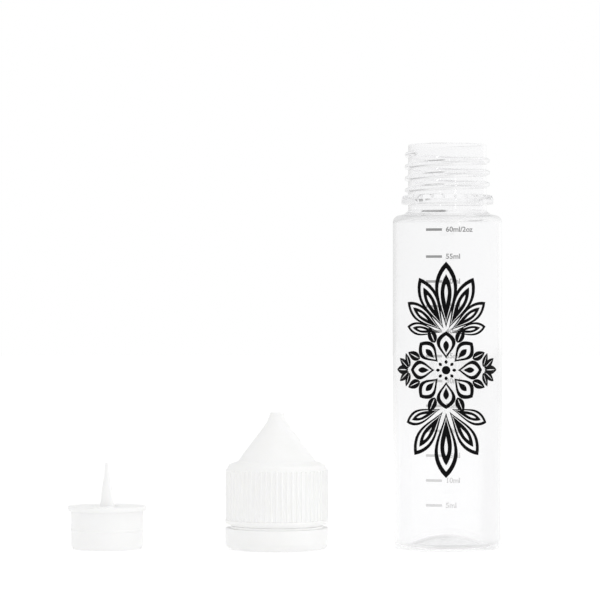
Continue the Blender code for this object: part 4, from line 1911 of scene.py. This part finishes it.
@dataclass(frozen=True)
class FloorShade:
    """Painted shade on the floor: how much less the floor glows for rays that come from glass or from a
    mirror.

    The strokes in the neck are a painted dark patch behind the bottle that only steep rays from the neck
    reach. Under the base lies a painted shadow, and far off and to the right lies painted shade that the
    glass shows.
    """

    everywhere: float = 0.03
    far_start: float = 250 * MM
    far_width: float = 1250 * MM
    far_loss: float = 0.055
    far_mirrored_loss: float = 0.15
    right_pivot: Point = (50 * MM, -60 * MM)
    right_slope: float = 0.08
    right_width: float = 0.04
    right_loss: float = 0.07
    under_radius: float = 14.5 * MM
    under_width: float = 2 * MM
    under_loss: float = 0.06
    under_right: float = -9 * MM
    under_right_width: float = 7 * MM
    under_right_loss: float = 0.16
    patch_x: Point = (-4 * MM, 56 * MM)
    patch_y: Point = (50 * MM, 275 * MM)
    patch_side_width: float = 8 * MM
    patch_front_width: float = 30 * MM
    patch_back_width: float = 35 * MM
    patch_facing: float = 0.68
    patch_facing_width: float = 0.1
    patch_height: float = 76 * MM
    patch_height_width: float = 4 * MM
    patch_loss: float = 0.7

    def patch(self, surface: Surface, x: Signal, y: Signal) -> Signal:
        """Find the rays from the neck that fall on the painted dark patch behind the bottle.

        Args:
            surface: The floor's tree.
            x: The shaded point's x.
            y: Its y.

        Returns:
            A mask of them.
        """
        facing = surface.put("ShaderNodeLayerWeight", {"Blend": 0.5}, "Facing")
        (length,) = surface.rays("Ray Length")
        steep = facing.falling(self.patch_facing, self.patch_facing_width)
        from_neck = ((1.0 - facing) * length).rising(self.patch_height, self.patch_height_width)
        left = x.rising(self.patch_x[0], self.patch_side_width)
        right = x.falling(self.patch_x[1], self.patch_side_width)
        front = y.rising(self.patch_y[0], self.patch_front_width)
        back = y.falling(self.patch_y[1], self.patch_back_width)
        return steep * from_neck * front * back * left * right

    def loss(self, surface: Surface, bottle_x: float) -> Signal:
        """Add up the painted shade, by which the floor glows less.

        Args:
            surface: The floor's tree.
            bottle_x: Where the bottle's axis is.

        Returns:
            How much less it glows.
        """
        through, glossy = surface.rays("Is Transmission Ray", "Is Glossy Ray")
        x, y, _ = surface.place()
        # painted shade that the glass shows far off and to the right of the row
        far = surface.math("SQRT", x * x + y * y).rising(self.far_start, self.far_width)
        slope = (x - self.right_pivot[0]) / (y - self.right_pivot[1])
        right = slope.rising(self.right_slope, self.right_width)
        # painted shadow on the floor under the bottle's base, darker towards its right
        beside = x - bottle_x
        under = surface.math("SQRT", beside * beside + y * y).falling(self.under_radius, self.under_width)
        under_right = beside.rising(self.under_right, self.under_right_width)
        under = under * (under_right * self.under_right_loss + self.under_loss)
        # painted dark patch behind the bottle, which the neck shows as dark strokes
        loss = self.patch(surface, x, y) * self.patch_loss + far * self.far_loss
        loss = loss + right * (1.0 - far) * self.right_loss + under + self.everywhere
        return through * loss + (glossy - through).clamped() * far * self.far_mirrored_loss


@dataclass(frozen=True)
class Surroundings:
    """The white world, greyer for glass and mirrors between the horizon and the ceiling.

    Heights and sides are parts of the ray's direction. Each gain is a strength and how much it grows to
    the right.
    """

    grey: Colour = (0.8, 0.8, 0.8, 1)
    low: Colour = (0.88, 0.88, 0.88, 1)
    heights: tuple[float, float, float, float] = (0.16, 0.34, 0.62, 0.85)
    left_end: float = 0.08
    left_width: float = 0.06
    left_share: float = 0.75
    right_start: float = 0.1
    right_width: float = 0.3
    right_share: float = 0.5
    overhead_start: float = 0.3
    overhead_width: float = 0.5
    overhead_loss: float = 0.08
    diffuse_gain: Point = (1.02, 0.06)
    through_gain: Point = (1.0, 0.04)
    mirrored_gain: Point = (0.95, 0.25)

    def bands(self, graph: Graph, up: Signal, lowest: Colour) -> Signal:
        """The world's grey at a height.

        Args:
            graph: The world's tree.
            up: The height.
            lowest: The colour up to the first height.

        Returns:
            The grey.
        """
        horizon, grey_low, grey_high, ceiling = self.heights
        stops = [(0.0, lowest), (horizon, lowest), (grey_low, self.grey), (grey_high, self.grey)]
        return graph.ramp(up, stops + [(ceiling, WHITE)])

    def build(self) -> None:
        """Build the world."""
        world = bpy.data.worlds.new("studio")
        world.use_nodes = True
        bpy.context.scene.world = world
        graph = Graph(world.node_tree)
        camera, diffuse, through = graph.rays("Is Camera Ray", "Is Diffuse Ray", "Is Transmission Ray")
        side, _, up = graph.parts(graph.put("ShaderNodeTexCoord", output="Generated"))
        left = side.falling(self.left_end, self.left_width)
        right = side.rising(self.right_start, self.right_width)
        seen_through = self.bands(graph, up, WHITE)
        seen_through = 1.0 - (1.0 - seen_through) * (left * self.left_share + (1.0 - self.left_share))
        mirrored = self.bands(graph, up, self.low)
        mirrored = 1.0 - (1.0 - mirrored) * (1.0 - right * self.right_share)
        overhead = ((up - self.overhead_start) / self.overhead_width).clamped()
        gains = (self.diffuse_gain, self.through_gain, self.mirrored_gain)
        on_matt, in_glass, in_mirrors = (side * growth + strength for strength, growth in gains)
        on_matt = on_matt - overhead * self.overhead_loss
        strength = camera + diffuse * on_matt + through * seen_through * in_glass
        strength = strength + (1.0 - camera - diffuse - through) * mirrored * in_mirrors
        graph.feed(world.node_tree.nodes["Background"], {"Color": WHITE, "Strength": strength})


@dataclass(frozen=True)
class Studio:
    """Camera, floor, lamps and world."""

    camera_x: float = 4.3 * MM
    camera_height: float = 71 * MM
    camera_distance: float = 880 * MM
    lens: float = 184.8
    floor_size: float = 6.0
    floor_matt: Colour = (0.35, 0.35, 0.35, 1)
    floor_glow: float = 0.6
    floor_seen_glow: float = 0.11

    def build(self) -> None:
        """Build everything that isn't the object."""
        self.build_camera()
        self.build_floor()
        for lamp in LAMPS:
            lamp.build()
        Surroundings().build()
        bpy.context.scene.view_settings.view_transform = "Standard"

    def build_camera(self) -> None:
        """Place the level camera in front of the row."""
        camera = bpy.data.cameras.new("camera")
        camera.lens = self.lens
        camera.sensor_width = 36
        camera.clip_start = 0.01
        camera.clip_end = 50
        holder = linked("camera", camera)
        holder.location = (self.camera_x, -self.camera_distance, self.camera_height)
        holder.rotation_euler = (math.pi / 2, 0, 0)
        bpy.context.scene.camera = holder

    def build_floor(self) -> None:
        """Lay the white floor, which keeps the object's shadow, is brighter where it is seen and shows
        painted shade to glass and mirrors.
        """
        half = self.floor_size / 2
        mesh = bpy.data.meshes.new("floor")
        edge = [(-half, -half, 0), (half, -half, 0), (half, half, 0), (-half, half, 0)]
        mesh.from_pydata(edge, [], [(0, 1, 2, 3)])
        floor = linked("floor", mesh)
        surface = Surface("white_floor")
        camera, glossy, through = surface.rays("Is Camera Ray", "Is Glossy Ray", "Is Transmission Ray")
        seen = surface.math("MAXIMUM", surface.math("MAXIMUM", camera, glossy), through)
        glow = seen * self.floor_seen_glow + self.floor_glow
        inputs = {
            "Roughness": 1.0,
            "Specular IOR Level": 0.0,
            "Base Color": self.floor_matt,
            "Emission Color": WHITE,
            # the floor's glow, less the painted shade that glass and mirrors show
            "Emission Strength": glow - FloorShade().loss(surface, middle_x(Item.BOTTLE)),
        }
        surface.feed(surface.shader, inputs)
        mesh.materials.append(surface.material)
        floor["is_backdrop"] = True


def middle_x(item: Item) -> float:
    """The x of a CAD node's upright axis."""
    low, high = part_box(item.value)
    return (low.x + high.x) / 2


def corners() -> list[list[float]]:
    """The shown object's lowest and highest corner as plain numbers."""
    return [[float(value) for value in corner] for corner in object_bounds()]


def main() -> None:
    """Build the studio and the object in order."""
    logging.basicConfig(level=logging.INFO, format="%(name)s: %(message)s")
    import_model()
    Studio().build()
    shop = Shop()
    neck = Neck()
    bottle_x, tip_x, cap_x = (middle_x(item) for item in (Item.BOTTLE, Item.TIP, Item.OUTER_CAP))
    Bottle(axis_x=bottle_x, shop=shop, neck=neck).build()
    scale = VolumeScale(axis_x=bottle_x, shop=shop)
    scale.build_dashes()
    scale.build_labels()
    Ornament(axis_x=bottle_x, shop=shop).build()
    DropperTip(axis_x=tip_x, shop=shop).build()
    TamperBand(axis_x=cap_x, shop=shop).build()
    InnerCap(axis_x=cap_x, shop=shop, neck=neck).build()
    OuterCap(axis_x=cap_x, shop=shop).build()


if __name__ == "__main__":
    main()
